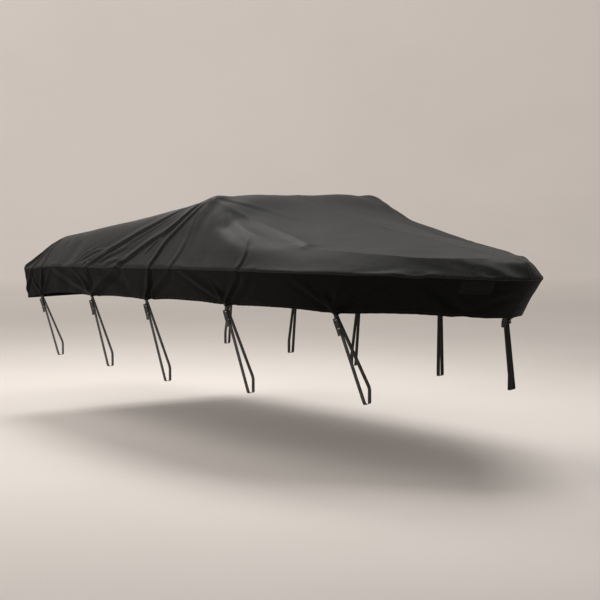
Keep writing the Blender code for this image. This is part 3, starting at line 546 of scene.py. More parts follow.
class Skin:
    """One side of the cover: its grid of points, outward normals, and lengths in metres.

    Each array is (column, row). round_plan is the length round the plan at the gunwale,
    height the length up the section from the gunwale, and from_hem that from the hem.
    """

    def __init__(self, side, columns, rows):
        self.gunwale = int(np.argmin(np.abs(rows)))
        smooth = eased(skin(columns, rows), self.gunwale)
        self.from_hem = heights(smooth)
        height = self.from_hem - self.from_hem[:, [self.gunwale]]
        x = smooth[..., 0]
        across = np.abs(smooth[..., 1])
        self.round_plan = np.repeat(lengths(smooth[:, self.gunwale])[:, None], len(rows), axis=1)
        lift = fold_height(side, x, height)
        shift = PORT_SHIFT if side == PORT else 0
        for r in RIPPLES:
            lift += r.height * ripple(self.round_plan + shift, height, r.spacing, r.seed)
        lift *= np.clip(across / CALM_MIDDLE, 0, 1)
        lift *= 1 - CALM_EDGE[0] * np.exp(-((height / CALM_EDGE[1]) ** 2))
        flat = tie_share(x, self.from_hem)
        for tie in TIES:
            weight = flat * (np.abs(x - tie.x) < 0.08)
            mean = float((lift * weight).sum() / weight.sum())
            lift += (mean - lift) * weight
        lift += self.sewing(x, across, height)
        self.side = side
        self.height = height
        flip = np.array((1, side, 1))
        points = smooth + push_ways(smooth, rows) * lift[..., None]
        self.out = normals(points) * flip
        self.points = points * flip

    def sewing(self, x, across, height):
        """What the seams add: a flat felled strip by the middle, puckers, and the turned hem."""
        half, rise, groove = STRIP
        strip = rise * np.exp(-((across / half) ** 4)) * (1 - 0.8 * np.exp(-((across / groove) ** 2)))
        middle = PUCKER_MIDDLE[0] * np.exp(-((across / PUCKER_MIDDLE[1]) ** 2))
        lap = PUCKER_LAP[0] * np.exp(-((height / PUCKER_LAP[1]) ** 2))
        beat = np.sin(2 * math.pi * x / PUCKER[1] + 1.7 * np.sin(9.1 * x) + 0.9 * np.sin(23.0 * x))
        puckers = PUCKER[0] * beat * (middle + lap)
        turned = HEM_RISE / (1 + np.exp(np.clip((self.from_hem - HEM_TURN) / HEM_STEP, -40, 40)))
        hem_beat = np.sin(2 * math.pi * x / HEM_WAVE[1] + 2.1 * np.sin(6.3 * x))
        hem = HEM_WAVE[0] * hem_beat * np.exp(-((self.from_hem / HEM_WAVE[2]) ** 2))
        return strip + puckers + turned + hem * (1 - tie_share(x, self.from_hem))


# ================================================================ meshes
def mesh_object(name, points, faces, look, uv=None, turn_sharp=None):
    """A smooth mesh object of the given points and faces; uv is one pair for each point."""
    mesh = bpy.data.meshes.new(name)
    points = np.asarray(points, float).reshape(-1, 3)
    mesh.from_pydata(points.tolist(), [], [list(map(int, f)) for f in faces])
    mesh.materials.append(look)
    mesh.shade_smooth()
    if turn_sharp is not None:
        mesh.set_sharp_from_angle(angle=math.radians(turn_sharp))
    if uv is not None:
        corners = np.zeros(len(mesh.loops), np.int32)
        mesh.loops.foreach_get("vertex_index", corners)
        layer = mesh.uv_layers.new(name="metres")
        layer.data.foreach_set("uv", np.asarray(uv, np.float32).reshape(-1, 2)[corners].ravel())
    made = bpy.data.objects.new(name, mesh)
    bpy.context.scene.collection.objects.link(made)
    return made


def grid_faces(columns, rows, flip=False, close_columns=False, close_rows=False, start=0):
    """Quads between the neighbouring points of a grid, which may close on itself."""
    index = np.arange(columns * rows).reshape(columns, rows) + start
    if close_columns:
        index = np.concatenate([index, index[:1]])
    if close_rows:
        index = np.concatenate([index, index[:, :1]], axis=1)
    faces = np.stack([index[:-1, :-1], index[1:, :-1], index[1:, 1:], index[:-1, 1:]], axis=-1).reshape(-1, 4)
    return faces[:, ::-1] if flip else faces


def cloth_shell(name, side, outer, ways, thick, uv, look):
    """A closed shell of cloth: the outer grid, an inner grid, and a rim along each edge.

    The inner grid has every second point, moved inward along the normal by the thickness
    of its row. A face of a rim joins three points of the outer edge to two of the inner.
    """
    inner = (outer - ways * thick[None, :, None])[::2, ::2]
    inner[..., 1] = side * np.maximum(side * inner[..., 1], SEAM)
    columns, rows = outer.shape[:2]
    a = np.arange(columns * rows).reshape(columns, rows)
    b = np.arange(inner.shape[0] * inner.shape[1]).reshape(inner.shape[:2]) + a.size
    faces = grid_faces(columns, rows).tolist()
    faces += grid_faces(*inner.shape[:2], flip=True, start=a.size).tolist()
    low, high = (a[:, 0], b[:, 0]), (a[::-1, -1], b[::-1, -1])
    first, last = (a[0, ::-1], b[0, ::-1]), (a[-1], b[-1])
    for edge, back in (low, high, last, first):
        rim = np.stack([edge[2::2], edge[1::2], edge[:-1:2], back[:-1], back[1:]], axis=1)
        faces += rim.tolist()
    if side == PORT:
        faces = [face[::-1] for face in faces]
    points = np.concatenate([outer.reshape(-1, 3), inner.reshape(-1, 3)])
    uv = np.concatenate([uv.reshape(-1, 2), uv[::2, ::2].reshape(-1, 2)])
    return mesh_object(name, points, faces, look, uv=uv)


def carried(points, across, profile):
    """A closed profile carried along a line: points (n, 3), across (n, 3), profile (k, 2).

    Each ring is p + across * u + normal * v, the normal being the line's direction crossed
    with across. Returns its points, faces and uv: along the line, and round the profile.
    """
    ahead = unit(np.gradient(points, axis=0))
    across = unit(across - ahead * (across * ahead).sum(axis=1)[:, None])
    up = np.cross(ahead, across)
    rings = points[:, None] + across[:, None] * profile[None, :, :1] + up[:, None] * profile[None, :, 1:]
    n, k = rings.shape[:2]
    faces = grid_faces(n, k, close_rows=True).tolist()
    faces += [list(range(k)), list(range((n - 1) * k, n * k))[::-1]]
    uv = np.stack(np.broadcast_arrays(lengths(points)[:, None], profile[None, :, 0]), axis=-1)
    return rings, facing_out(rings, faces), uv


def facing_out(points, faces):
    """The faces, turned round if the closed shape that they make is inside out."""
    flat = np.asarray(points, float).reshape(-1, 3)
    volume = 0.0
    for face in faces:
        a = flat[face[0]]
        for b, c in zip(face[1:-1], face[2:]):
            volume += float(np.dot(a, np.cross(flat[b], flat[c])))
    return [list(f)[::-1] for f in faces] if volume < 0 else faces


def joined(parts):
    """Several (points, faces) as one."""
    points, faces, start = [], [], 0
    for p, f in parts:
        points.append(np.asarray(p, float).reshape(-1, 3))
        faces += [[i + start for i in face] for face in f]
        start += len(points[-1])
    return np.concatenate(points), faces


# ================================================================ materials
class Look:
    """A Principled material under construction, with helpers to add nodes."""

    def __init__(self, name, colour, roughness, **sockets):
        self.made = bpy.data.materials.new(name)
        self.made.use_nodes = True
        self.tree = self.made.node_tree
        self.shader = self.tree.nodes["Principled BSDF"]
        self.shader.inputs["Base Color"].default_value = (*colour, 1)
        self.shader.inputs["Roughness"].default_value = roughness
        for socket, value in sockets.items():
            self.shader.inputs[socket.replace("_", " ")].default_value = value
        self.made.diffuse_color = (*colour, 1)

    def feed(self, value, socket):
        """Links a socket to another, or sets it to a value or a colour."""
        if isinstance(value, bpy.types.NodeSocket):
            self.tree.links.new(value, socket)
        else:
            socket.default_value = (*value, 1) if socket.type == "RGBA" else value

    def node(self, kind, **settings):
        """A new node: settings name its properties, or its inputs if they start with in_."""
        made = self.tree.nodes.new("ShaderNode" + kind)
        for key, value in settings.items():
            if key.startswith("in_"):
                key = key[3:]
                self.feed(value, made.inputs[int(key) if key.isdigit() else key.replace("_", " ")])
            else:
                setattr(made, key, value)
        return made

    def uv(self):
        """The piece's own uv, in metres."""
        return self.node("UVMap", uv_map="metres").outputs[0]

    def place(self):
        """Where each point is."""
        return self.node("TexCoord").outputs["Object"]

    def noise(self, scale, detail=2.0, roughness=0.5, at=None):
        """Smooth noise from 0 to 1, at each point's place or at another vector."""
        return self.node("TexNoise", in_Vector=self.place() if at is None else at, in_Scale=scale,
                         in_Detail=detail, in_Roughness=roughness).outputs["Fac"]

    def bump(self, height, strength, distance, **more):
        """The normal, bumped by a height."""
        made = self.node("Bump", in_Strength=strength, in_Distance=distance, in_Height=height, **more)
        return made.outputs[0]

    def math(self, operation, a, b=0.0):
        """The result of one sum on two values or sockets."""
        return self.node("Math", operation=operation, in_0=a, in_1=b).outputs[0]

    def ramp(self, value, low, high, to_low, to_high):
        """A value's range mapped onto another, without going past it."""
        made = self.node("MapRange", in_Value=value, in_From_Min=low, in_From_Max=high,
                         in_To_Min=to_low, in_To_Max=to_high)
        return made.outputs["Result"]

    def mix(self, share, a, b):
        """Two colours, mixed by share."""
        return self.node("Mix", data_type="RGBA", in_0=share, in_6=a, in_7=b).outputs[2]

    def link(self, output, socket):
        """Feeds a socket of the shader."""
        self.tree.links.new(output, self.shader.inputs[socket])


def plain_weave(look, uv, pitch):
    """Height of a plain weave, from 0 to 1: warp and weft arch over each other in turn.

    Over a square of the chequer the warp is on top, and over the next the weft: each is
    half of a sine wave along its length.
    """
    scaled = look.node("VectorMath", operation="MULTIPLY", in_0=uv, in_1=(1 / pitch, 1 / pitch, 0)).outputs[0]
    split = look.node("SeparateXYZ", in_0=scaled)
    chequer = look.node("TexChecker", in_Vector=scaled, in_Scale=1.0).outputs["Fac"]
    turns = [look.math("MULTIPLY", split.outputs[k], math.pi) for k in (0, 1)]
    warp, weft = (look.math("ABSOLUTE", look.math("SINE", turn)) for turn in turns)
    over = look.math("MULTIPLY", look.math("SUBTRACT", 1.0, chequer), warp)
    return look.math("ADD", over, look.math("MULTIPLY", chequer, weft))


def cover_cloth(name, colour, worn, roughness, sheen, shine):
    """Woven polyester: a fine plain weave, cloudy where it has faded, with lint and slubs."""
    look = Look(name, colour, roughness, Sheen_Weight=sheen, Sheen_Roughness=0.45, Specular_IOR_Level=shine)
    uv = look.uv()
    mottle = look.noise(46.0, 3.0, 0.7)
    threads = look.node("VectorMath", operation="MULTIPLY", in_0=uv, in_1=(*SLUBS, 0)).outputs[0]
    slub = look.ramp(look.noise(1.0, at=threads), 0.60, 0.75, 0.0, 0.25)
    fade = look.math("ADD", look.ramp(look.noise(3.2, 4.0, 0.6), 0.35, 0.68, 0.0, 0.35),
                     look.ramp(mottle, 0.36, 0.64, 0.0, 0.85))
    look.link(look.mix(slub, look.mix(fade, colour, worn), [2.0 * c for c in worn]), "Base Color")
    look.link(look.ramp(mottle, 0.3, 0.7, roughness - 0.07, roughness + 0.07), "Roughness")
    weave = look.bump(plain_weave(look, uv, WEAVE_PITCH), 0.35, 0.0004)
    look.link(look.bump(look.noise(120.0), 0.30, 0.0015, in_Normal=weave), "Normal")
    return look.made


def webbing_cloth(name, colour, shine):
    """Polypropylene webbing: ribs across its width, a herringbone of threads, paler edges."""
    look = Look(name, colour, 0.55, Sheen_Weight=0.25, Sheen_Roughness=0.4, Specular_IOR_Level=0.45)
    split = look.node("SeparateXYZ", in_0=look.uv())
    along, across = split.outputs[0], split.outputs[1]
    turned = look.math("PINGPONG", across, HERRINGBONE)
    slant = look.math("ABSOLUTE", look.math("SUBTRACT", turned, HERRINGBONE / 2))
    slanted = look.math("ADD", along, slant)
    wave = look.math("SINE", look.math("MULTIPLY", slanted, 2 * math.pi / THREAD_PITCH))
    ribs = look.math("SINE", look.math("MULTIPLY", across, 2 * math.pi / RIB_PITCH))
    height = look.math("ADD", look.math("MULTIPLY", wave, 0.5), look.math("MULTIPLY", ribs, 0.3))
    edge = look.ramp(look.math("ABSOLUTE", across), *WEB_EDGE, 0.0, 0.5)
    fuzz = look.noise(90.0)
    share = look.math("ADD", edge, look.ramp(fuzz, 0.45, 0.7, 0.0, 0.4))
    look.link(look.mix(share, colour, shine), "Base Color")
    look.link(look.bump(height, 0.5, 0.0006), "Normal")
    look.link(look.ramp(fuzz, 0.3, 0.7, 0.48, 0.66), "Roughness")
    return look.made


def moulded_plastic(name, colour):
    """Moulded plastic: a fine spark-eroded grain, and scuffs that are paler and duller."""
    look = Look(name, colour, 0.42, Specular_IOR_Level=0.5)
    scuff = look.noise(70.0, 5.0, 0.75)
    look.link(look.mix(look.ramp(scuff, 0.56, 0.72, 0.0, 0.6), colour, [4 * c for c in colour]), "Base Color")
    look.link(look.ramp(scuff, 0.4, 0.7, 0.36, 0.62), "Roughness")
    look.link(look.bump(look.noise(900.0), 0.25, 0.0003), "Normal")
    return look.made


def thread(name, colour):
    """Twisted sewing thread."""
    look = Look(name, colour, 0.5, Sheen_Weight=0.2, Sheen_Roughness=0.4, Specular_IOR_Level=0.4)
    twist = look.noise(1400.0, 1.0)
    look.link(look.bump(twist, 0.4, 0.0002), "Normal")
    look.link(look.mix(look.ramp(twist, 0.4, 0.6, 0.0, 1.0), colour, [1.7 * c for c in colour]), "Base Color")
    return look.made


def studio_paper():
    """Warm pale grey paper, cloudy by a hair. Its wall glows, most behind the cover."""
    look = Look("studio_paper", (0.60, 0.56, 0.52), 0.75, Specular_IOR_Level=0.1)
    share = look.ramp(look.noise(0.35, 3.0), 0.35, 0.65, 0.0, 1.0)
    look.link(look.mix(share, FLOOR_DARK, FLOOR_LIGHT), "Base Color")
    place = look.place()
    behind = look.node("VectorMath", operation="DOT_PRODUCT", in_0=place, in_1=BEHIND).outputs["Value"]
    far = look.node("VectorMath", operation="LENGTH", in_0=place).outputs["Value"]
    lit = look.ramp(behind, *GLOW_RUN, *WALL_GLOW)
    look.link(look.math("MULTIPLY", lit, look.ramp(far, *GLOW_NEAR, FLOOR_GLOW, 1.0)), "Emission Strength")
    look.shader.inputs["Emission Color"].default_value = (*GLOW_COLOUR, 1)
    return look.made


# ================================================================ pieces
def sewn_on(made, *nodes, slot):
    """Makes a piece ride on the part and stand for its solids."""
    if nodes:
        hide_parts(*nodes)
    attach(made, "root")
    return made


def stitches(line, out, pitch=STITCH_PITCH, length=STITCH_LENGTH, thick=STITCH_ROUND):
    """A row of stitches along a line on the cloth: each is a small spindle of four sides.

    A stitch's centre is read from the line every pitch; its rings are at a quarter and three
    quarters of its length, sunk by part of its thickness.
    """
    run = lengths(line)
    count = max(1, int(run[-1] / pitch))
    at = (np.arange(count) + 0.5) * run[-1] / count

    def read(values, where):
        return np.stack([np.interp(where, run, values[:, k]) for k in range(3)], axis=1)

    centre = read(line, at)
    ahead = unit(read(line, np.minimum(at + 0.002, run[-1])) - read(line, np.maximum(at - 0.002, 0)))
    up = unit(read(out, at))
    aside = unit(np.cross(ahead, up))
    points = [centre - ahead * length / 2 - up * thick * 0.3]
    for share in (-0.25, 0.25):
        for u, v in ((1, 0), (0, 1), (-1, 0), (0, -1)):
            ring = aside * u * thick + up * (v * thick + thick * 0.35)
            points.append(centre + ahead * length * share + ring)
    points.append(centre + ahead * length / 2 - up * thick * 0.3)
    points = np.stack(points, axis=1)
    one = [[0, 2, 1], [0, 3, 2], [0, 4, 3], [0, 1, 4]]
    one += [[1, 2, 6], [1, 6, 5], [2, 3, 7], [2, 7, 6], [3, 4, 8], [3, 8, 7], [4, 1, 5], [4, 5, 8]]
    one += [[9, 5, 6], [9, 6, 7], [9, 7, 8], [9, 8, 5]]
    one = facing_out(points[0], one)
    faces = (np.array(one)[None] + 10 * np.arange(count)[:, None, None]).reshape(-1, 3)
    return points.reshape(-1, 3), faces.tolist()


def row_at(one, below):
    """The skin's points and normals that far below the gunwale."""
    def read(values):
        columns = zip(one.height, values)
        return np.stack([[np.interp(-below, h, v[:, k]) for k in range(3)] for h, v in columns])

    return read(one.points), unit(read(one.out))


def box_outline(half_width, half_thick, corner, steps=4):
    """A rounded box as a closed outline of (across, through) pairs, anticlockwise."""
    out = []
    for cx, cy, start in ((1, 1, 0), (-1, 1, 90), (-1, -1, 180), (1, -1, 270)):
        turn = np.radians(start + np.linspace(0, 90, steps))
        out.append(np.stack([cx * (half_width - corner) + corner * np.cos(turn),
                             cy * (half_thick - corner) + corner * np.sin(turn)], axis=1))
    return np.concatenate(out)


def bent_line(corners, per_arc=7, step=0.012):
    """A line through corners of (point, radius): straight runs, each corner cut to a curve.

    The curve is (1 - t)^2 * start + 2 t (1 - t) * corner + t^2 * end.
    """
    out = [np.array(corners[0][0], float)]
    for (before, _), (corner, radius), (after, _) in zip(corners, corners[1:], corners[2:]):
        corner = np.array(corner, float)
        back = np.array(before, float) - corner
        on = np.array(after, float) - corner
        reach = min(radius, 0.45 * np.linalg.norm(back), 0.45 * np.linalg.norm(on))
        start = corner + back / np.linalg.norm(back) * reach
        end = corner + on / np.linalg.norm(on) * reach
        for t in np.linspace(0, 1, per_arc):
            out.append((1 - t) ** 2 * start + 2 * t * (1 - t) * corner + t**2 * end)
    out.append(np.array(corners[-1][0], float))
    line = [out[0]]
    for a, b in zip(out, out[1:]):
        parts = max(1, int(np.linalg.norm(b - a) / step))
        line += [a + (b - a) * k / parts for k in range(1, parts + 1)]
    return np.array(line)


def webbing_piece(node, corners, ways, width, look, held, rests_on):
    """Webbing of that width along a bent line; ways are its across at each corner."""
    line = bent_line(corners)
    places = np.array([np.argmin(np.linalg.norm(line - point, axis=1)) for point, _ in corners])
    places[-1] = len(line) - 1
    places = np.maximum.accumulate(places)
    across = np.stack([np.interp(np.arange(len(line)), places, way) for way in np.array(ways).T], axis=1)
    rings, faces, uv = carried(line, across, box_outline(width / 2, WEBBING / 2, WEBBING * 0.42, 3))
    made = mesh_object("fine_" + node, rings, faces, look, uv=uv, turn_sharp=50)
    sewn_on(made, node, slot="webbing")


Sewn = namedtuple("Sewn", "point out along up")


def hem_at(one, x):
    """Where a tie is sewn to the hem: point, outward normal, way along and way up."""
    hem = one.skirt[:, 0]
    beside = int(np.argmax(hem[:, 0] > STERN_CORNER))
    place, left, right = (
        beside + int(np.argmin(np.abs(hem[beside:, 0] - at))) for at in (x, x - TIE_FACET, x + TIE_FACET))
    rise = int(np.argmin(np.abs(one.from_hem[place] - SEWN)))
    low = (hem[left] + hem[right]) / 2
    along = unit(hem[right] - hem[left])
    up = unit((one.skirt[left, rise] + one.skirt[right, rise]) / 2 - low)
    out = unit(np.cross(along, up))
    return Sewn(low, -out if out[1] * low[1] < 0 else out, along, up)


def buckle_shape(centre, axes):
    """A ladder buckle, as (points, faces): a rounded frame, two inner bars and a ribbed lid.

    The frame is a rounded outline carried round a rounded rectangle. The lid is a dome,
    h = (1 - |u|^5)(1 - |v|^5), with ribs across it, on the front and the back.
    """
    wide, thick, tall = BUCKLE
    bar = BUCKLE_BAR / 2
    u, v = wide / 2 - bar, tall / 2 - bar
    through = np.array((0.0, 1.0, 0.0))
    loop = box_outline(u, v, 0.009, 7)
    line = np.stack([loop[:, 0], 0 * loop[:, 0], loop[:, 1]], axis=1)
    outline = box_outline(thick / 2 - 0.0012, bar, 0.0021, 4)[None]
    side = np.cross(unit(np.roll(line, -1, axis=0) - np.roll(line, 1, axis=0)), through)
    rings = line[:, None] + through * outline[..., :1] + side[:, None] * outline[..., 1:]
    faces = grid_faces(*rings.shape[:2], close_columns=True, close_rows=True).tolist()
    parts = [(rings, facing_out(rings, faces))]
    inner_z = tall / 2 - 2 * BUCKLE_BAR - bar
    rod = np.linspace(-u, u, 9)
    outline = box_outline(thick / 2 - 0.001, bar, 0.0022, 4)
    for z in (-inner_z, inner_z):
        line = np.stack([rod, 0 * rod, np.full(9, z)], axis=1)
        parts.append(carried(line, np.tile(through, (9, 1)), outline)[:2])
    a, b = np.meshgrid(np.linspace(-1, 1, 25), np.linspace(-1, 1, 41), indexing="ij")
    dome = (1 - np.abs(a) ** 5) * (1 - np.abs(b) ** 5)
    ribs = 0.12 * np.cos(2 * math.pi * 4.5 * b) * (np.abs(b) < 0.82) * (np.abs(a) < 0.88)
    height = (thick / 2 - 0.0003) * np.clip(dome * (1 + ribs) * 0.92, 0, 1)
    front = np.stack([a * (u - bar), height, b * (inner_z - bar * 0.6)], axis=-1)
    shell = np.concatenate([front.reshape(-1, 3), (front * (1, -0.72, 1)).reshape(-1, 3)])
    faces = grid_faces(*a.shape).tolist() + grid_faces(*a.shape, flip=True, start=a.size).tolist()
    parts.append((shell, facing_out(shell, faces)))
    points, faces = joined(parts)
    return points @ np.array(axes) + centre, faces


def tie_down(one, tie, looks):
    """One tie: its tab, ladder buckle, and strap with a long loop and a free tail."""
    label = SIDE_NAMES[one.side] + "_" + tie.name
    sewn = hem_at(one, tie.x)
    point, out, across, up = sewn
    foot = np.array((tie.foot_x, one.side * tie.foot_y, tie.foot_z))
    outboard = np.array((0, one.side * (LOOP_FOOT[0] + WEBBING) / 2, 0))
    top = np.array((0, 0, LOOP_FOOT[1]))
    under = np.array((0, 0, -WEBBING / 2))
    tab_in = -out * INSIDE_HEM
    strap_in = tab_in - out * (WEBBING + 2.5 * GAP)
    hang = unit(foot + top - point)
    away = unit(out - hang * out.dot(hang))
    bar = point + hang * HEM_TO_BUCKLE + away * BUCKLE_OUT
    way = unit(foot + outboard + under - bar)
    fore = np.array((1.0, 0.0, 0.0))
    wide = unit(fore - way * fore.dot(way))
    face = np.cross(way, wide)
    if face.dot(out) < 0:
        face = -face
    clear = WEBBING / 2 + BUCKLE_PLAY
    front = face * (BUCKLE[1] / 2 + clear)
    deep = way * (BUCKLE_BAR + clear)
    tab = [
        (point + up * SEWN + tab_in, 0),
        (point - up * HEM_BEND + tab_in, HEM_BEND),
        (bar - front, TAB_BEND),
        (bar - front + deep, BAR_BEND),
        (bar + front + deep, BAR_BEND),
        (bar + front - way * clear, BAR_BEND),
        (bar - front * 0.3 - way * clear, 0),
    ]
    buckle = "buckle_" + label
    more = looks["web"], "stretched", buckle
    webbing_piece("tab_" + label, tab, [across] * 2 + [wide] * 5, TAB_WIDTH, *more)
    points, faces = buckle_shape(bar + way * BUCKLE[2] / 2, (wide, face, np.cross(wide, face)))
    made = mesh_object("fine_" + buckle, points, faces, looks["plastic"], turn_sharp=40)
    sewn_on(made, buckle, slot="buckle_plastic")
    end = bar + way * BUCKLE[2]
    strap = [
        (point + up * SEWN + strap_in, 0),
        (point - up * HEM_BEND + strap_in, HEM_BEND),
        (point + hang * HEM_TO_BUCKLE + strap_in, HEM_BEND),
        (foot - outboard + top, EASY_BEND),
        (foot - outboard + under, FOOT_BEND),
        (foot + outboard + under, FOOT_BEND),
        (end - front + way * STRAP_TURN, STRAP_BEND),
        (end - front - deep, BAR_BEND),
        (end + front - deep, BAR_BEND),
        (end + front + way * TAIL * 0.45 + face * TAIL_OFF[0], EASY_BEND),
        (end + front + way * TAIL + face * TAIL_OFF[1], 0),
    ]
    webbing_piece("strap_" + label, strap, [across] * 2 + [wide] * 9, STRAP_WIDTH, *more)
    return sewn


def bar_tack(sewn):
    """A bar tack on the hem's outer face: close stitches across it, one above the other."""
    parts = []
    for k in range(TACK_ROWS):
        rise = TACK_UP + (k - (TACK_ROWS - 1) / 2) * TACK_STEP
        middle = sewn.point + sewn.up * rise + sewn.out * TACK_OUT
        half = sewn.along * TACK["pitch"] / 2
        line = np.stack([middle - half, middle, middle + half])
        parts.append(stitches(line, np.stack([sewn.out] * 3), **TACK))
    return joined(parts)


def bow_loop(sides, look):
    """The webbing loop under the bow: it turns edge on as it hangs from inside the hem."""
    ends = []
    for side in (STARBOARD, PORT):
        grid = sides[side].skirt
        column = len(grid) - 1 - int(np.argmax(np.abs(grid[::-1, 0, 1]) > BOW_OUT))
        hem = grid[column, 0]
        rise = int(np.argmin(np.abs(sides[side].from_hem[column] - SEWN)))
        up = unit(grid[column, rise] - hem)
        along = unit(grid[column + 1, 0] - grid[column - 1, 0])
        out = unit(np.cross(along, up))
        inside = hem - (-out if out[0] < 0 else out) * INSIDE_HEM
        ends.append((inside + up * SEWN, inside - up * BOW_BEND, -along if along[1] < 0 else along))
    (top_a, a, way_a), (top_b, b, way_b) = ends
    low = np.array(((a[0] + b[0]) / 2 - BOW_AFT, 0, a[2] - BOW_LOOP))
    aside = np.array((0, 0.001, 0))
    corners = [
        (top_a, 0), (a, BOW_BEND), ((a + low) / 2 - aside * 4, EASY_BEND), (low - aside * 7, BOW_BEND),
        (low + aside * 7, BOW_BEND), ((b + low) / 2 + aside * 4, EASY_BEND), (b, BOW_BEND), (top_b, 0),
    ]
    fore = np.array((1.0, 0, 0))
    ways = [way_a, way_a, unit(way_a + fore), fore, fore, unit(fore - way_b), -way_b, -way_b]
    webbing_piece("bow_loop", corners, ways, BOW_WIDTH, look, "hung", "skirt_port")


def patch(one, look, thread_look):
    """The blank patch: a small grid that follows the skirt, its edges pressed down.

    It stands up by (1 - |2u - 1|^8)(1 - |2v - 1|^8) of its crown.
    """
    u = np.linspace(0, 1, 41)
    v = np.linspace(0, 1, 25)
    gunwale_x = one.points[:, one.gunwale, 0]
    beside = int(np.argmax(gunwale_x > STERN_CORNER))
    start, end = np.interp(PATCH_X, gunwale_x[beside:], np.arange(beside, len(gunwale_x)))
    flip = (1, one.side, 1)
    skirt_out = normals(one.skirt * flip, closed=False) * flip
    depth = one.height[:, :one.skirt.shape[1]]
    target = -(PATCH_BELOW[1] + (PATCH_BELOW[0] - PATCH_BELOW[1]) * v) - LAP
    grid = np.zeros((len(u), len(v), 3))
    outs = np.zeros_like(grid)
    for i, column in enumerate(start + u * (end - start)):
        c = int(column)
        for k in range(3):
            low, high = (np.interp(target, depth[at], one.skirt[at, :, k]) for at in (c, c + 1))
            grid[i, :, k] = low * (1 - column + c) + high * (column - c)
            outs[i, :, k] = np.interp(target, depth[c], skirt_out[c, :, k])
    outs = unit(outs)
    crown = (1 - np.abs(2 * u - 1) ** 8)[:, None] * (1 - np.abs(2 * v - 1) ** 8)[None]
    grid = grid + outs * (GAP + PATCH_CLOTH + PATCH_CROWN * crown)[..., None]
    long, tall = float(lengths(grid[:, len(v) // 2])[-1]), PATCH_BELOW[1] - PATCH_BELOW[0]
    uv = np.stack(np.broadcast_arrays(u[:, None] * long, v[None] * tall), axis=-1)
    made = mesh_object("fine_patch", grid, grid_faces(*grid.shape[:2], flip=one.side == PORT), look, uv=uv)
    shell = made.modifiers.new("thickness", "SOLIDIFY")
    shell.offset = -1
    shell.thickness = PATCH_CLOTH
    sewn_on(made, "patch_blank", slot="patch_cloth")
    edges = [
        [g[1:-1, 1], g[-2, 1:-1], g[1:-1, -2][::-1], g[1, 1:-1][::-1]] for g in (grid, outs)
    ]
    rows = [stitches(line, out, **EDGE_STITCHES) for line, out in zip(*edges)]
    sewn_on(mesh_object("patch_stitching", *joined(rows), thread_look), slot="patch_cloth")


# ================================================================ studio
def studio():
    """A pale floor that curves up into a wall all round, and soft lights above."""
    curve = np.linspace(0, math.pi / 2, 16)[1:]
    radius = np.concatenate([np.arange(1, FLOOR_FLAT + 1), FLOOR_FLAT + FLOOR_BEND * np.sin(curve), WALL_OUT])
    rise = np.concatenate([np.zeros(FLOOR_FLAT), FLOOR_BEND * (1 - np.cos(curve)), WALL_UP])
    turn = np.linspace(0, 2 * math.pi, 97)[:-1, None]
    x, y = radius * np.cos(turn), radius * np.sin(turn)
    rings = np.stack(np.broadcast_arrays(x, y, FLOOR_Z + rise), axis=-1)
    columns, rows = rings.shape[:2]
    faces = grid_faces(columns, rows, flip=True, close_columns=True).tolist()
    faces.append((np.arange(columns) * rows).tolist())
    mesh_object("floor", rings, faces, studio_paper())
    world = bpy.data.worlds.new("studio_air")
    world.use_nodes = True
    sky = world.node_tree.nodes["Background"]
    sky.inputs["Strength"].default_value = SKY[0]
    sky.inputs["Color"].default_value = (*SKY[1], 1)
    scene = bpy.context.scene
    scene.world = world
    scene.view_settings.view_transform = "Standard"
    for lamp in LAMPS:
        data = bpy.data.lights.new(lamp.name, "AREA")
        data.shape = "RECTANGLE"
        data.size, data.size_y = lamp.size
        data.energy = lamp.power
        data.color = lamp.colour
        made = bpy.data.objects.new(lamp.name, data)
        made.location = lamp.place
        made.rotation_euler = (Vector(lamp.aim) - Vector(lamp.place)).to_track_quat("-Z", "Y").to_euler()
        made.visible_camera = False
        scene.collection.objects.link(made)


def camera():
    """The eye, where the picture was taken from."""
    data = bpy.data.cameras.new("eye")
    data.sensor_width = 36
    data.lens = LENS_MM
    data.clip_end = 200
    made = bpy.data.objects.new("eye", data)
    made.location = EYE
    made.rotation_euler = (math.pi / 2 - EYE_DOWN, 0, EYE_TURN)
    bpy.context.scene.collection.objects.link(made)
    bpy.context.scene.camera = made


# ================================================================ the cover
def row_places(columns):
    """The rows of the skirt, which goes up into the lap, and of the top, which goes down to it."""
    part = sections(columns)
    lap = LAP / float(np.mean(np.linalg.norm(part[:, 1] - part[:, 0], axis=1)))
    skirt = np.concatenate([np.linspace(-1, -lap, SKIRT_ROWS), [-0.5 * lap, -0.25 * lap]])
    top = np.concatenate([
        np.linspace(-lap, 0, LAP_ROWS)[:-1],
        EDGE_ROWS,
        np.linspace(BAND_START, SECTION[1], BAND_ROWS),
        np.linspace(SECTION[1], SECTION[2], BROW_ROWS)[1:],
        SECTION[2] + (SEAM_ROWS[0] - SECTION[2]) * np.linspace(0, 1, CROWN_ROWS)[1:] ** 1.2,
        SEAM_ROWS[1:],
    ])
    assert len(top) % 2 and len(skirt) % 2 and len(columns) % 2
    return np.round(skirt, 9), np.round(top, 9)


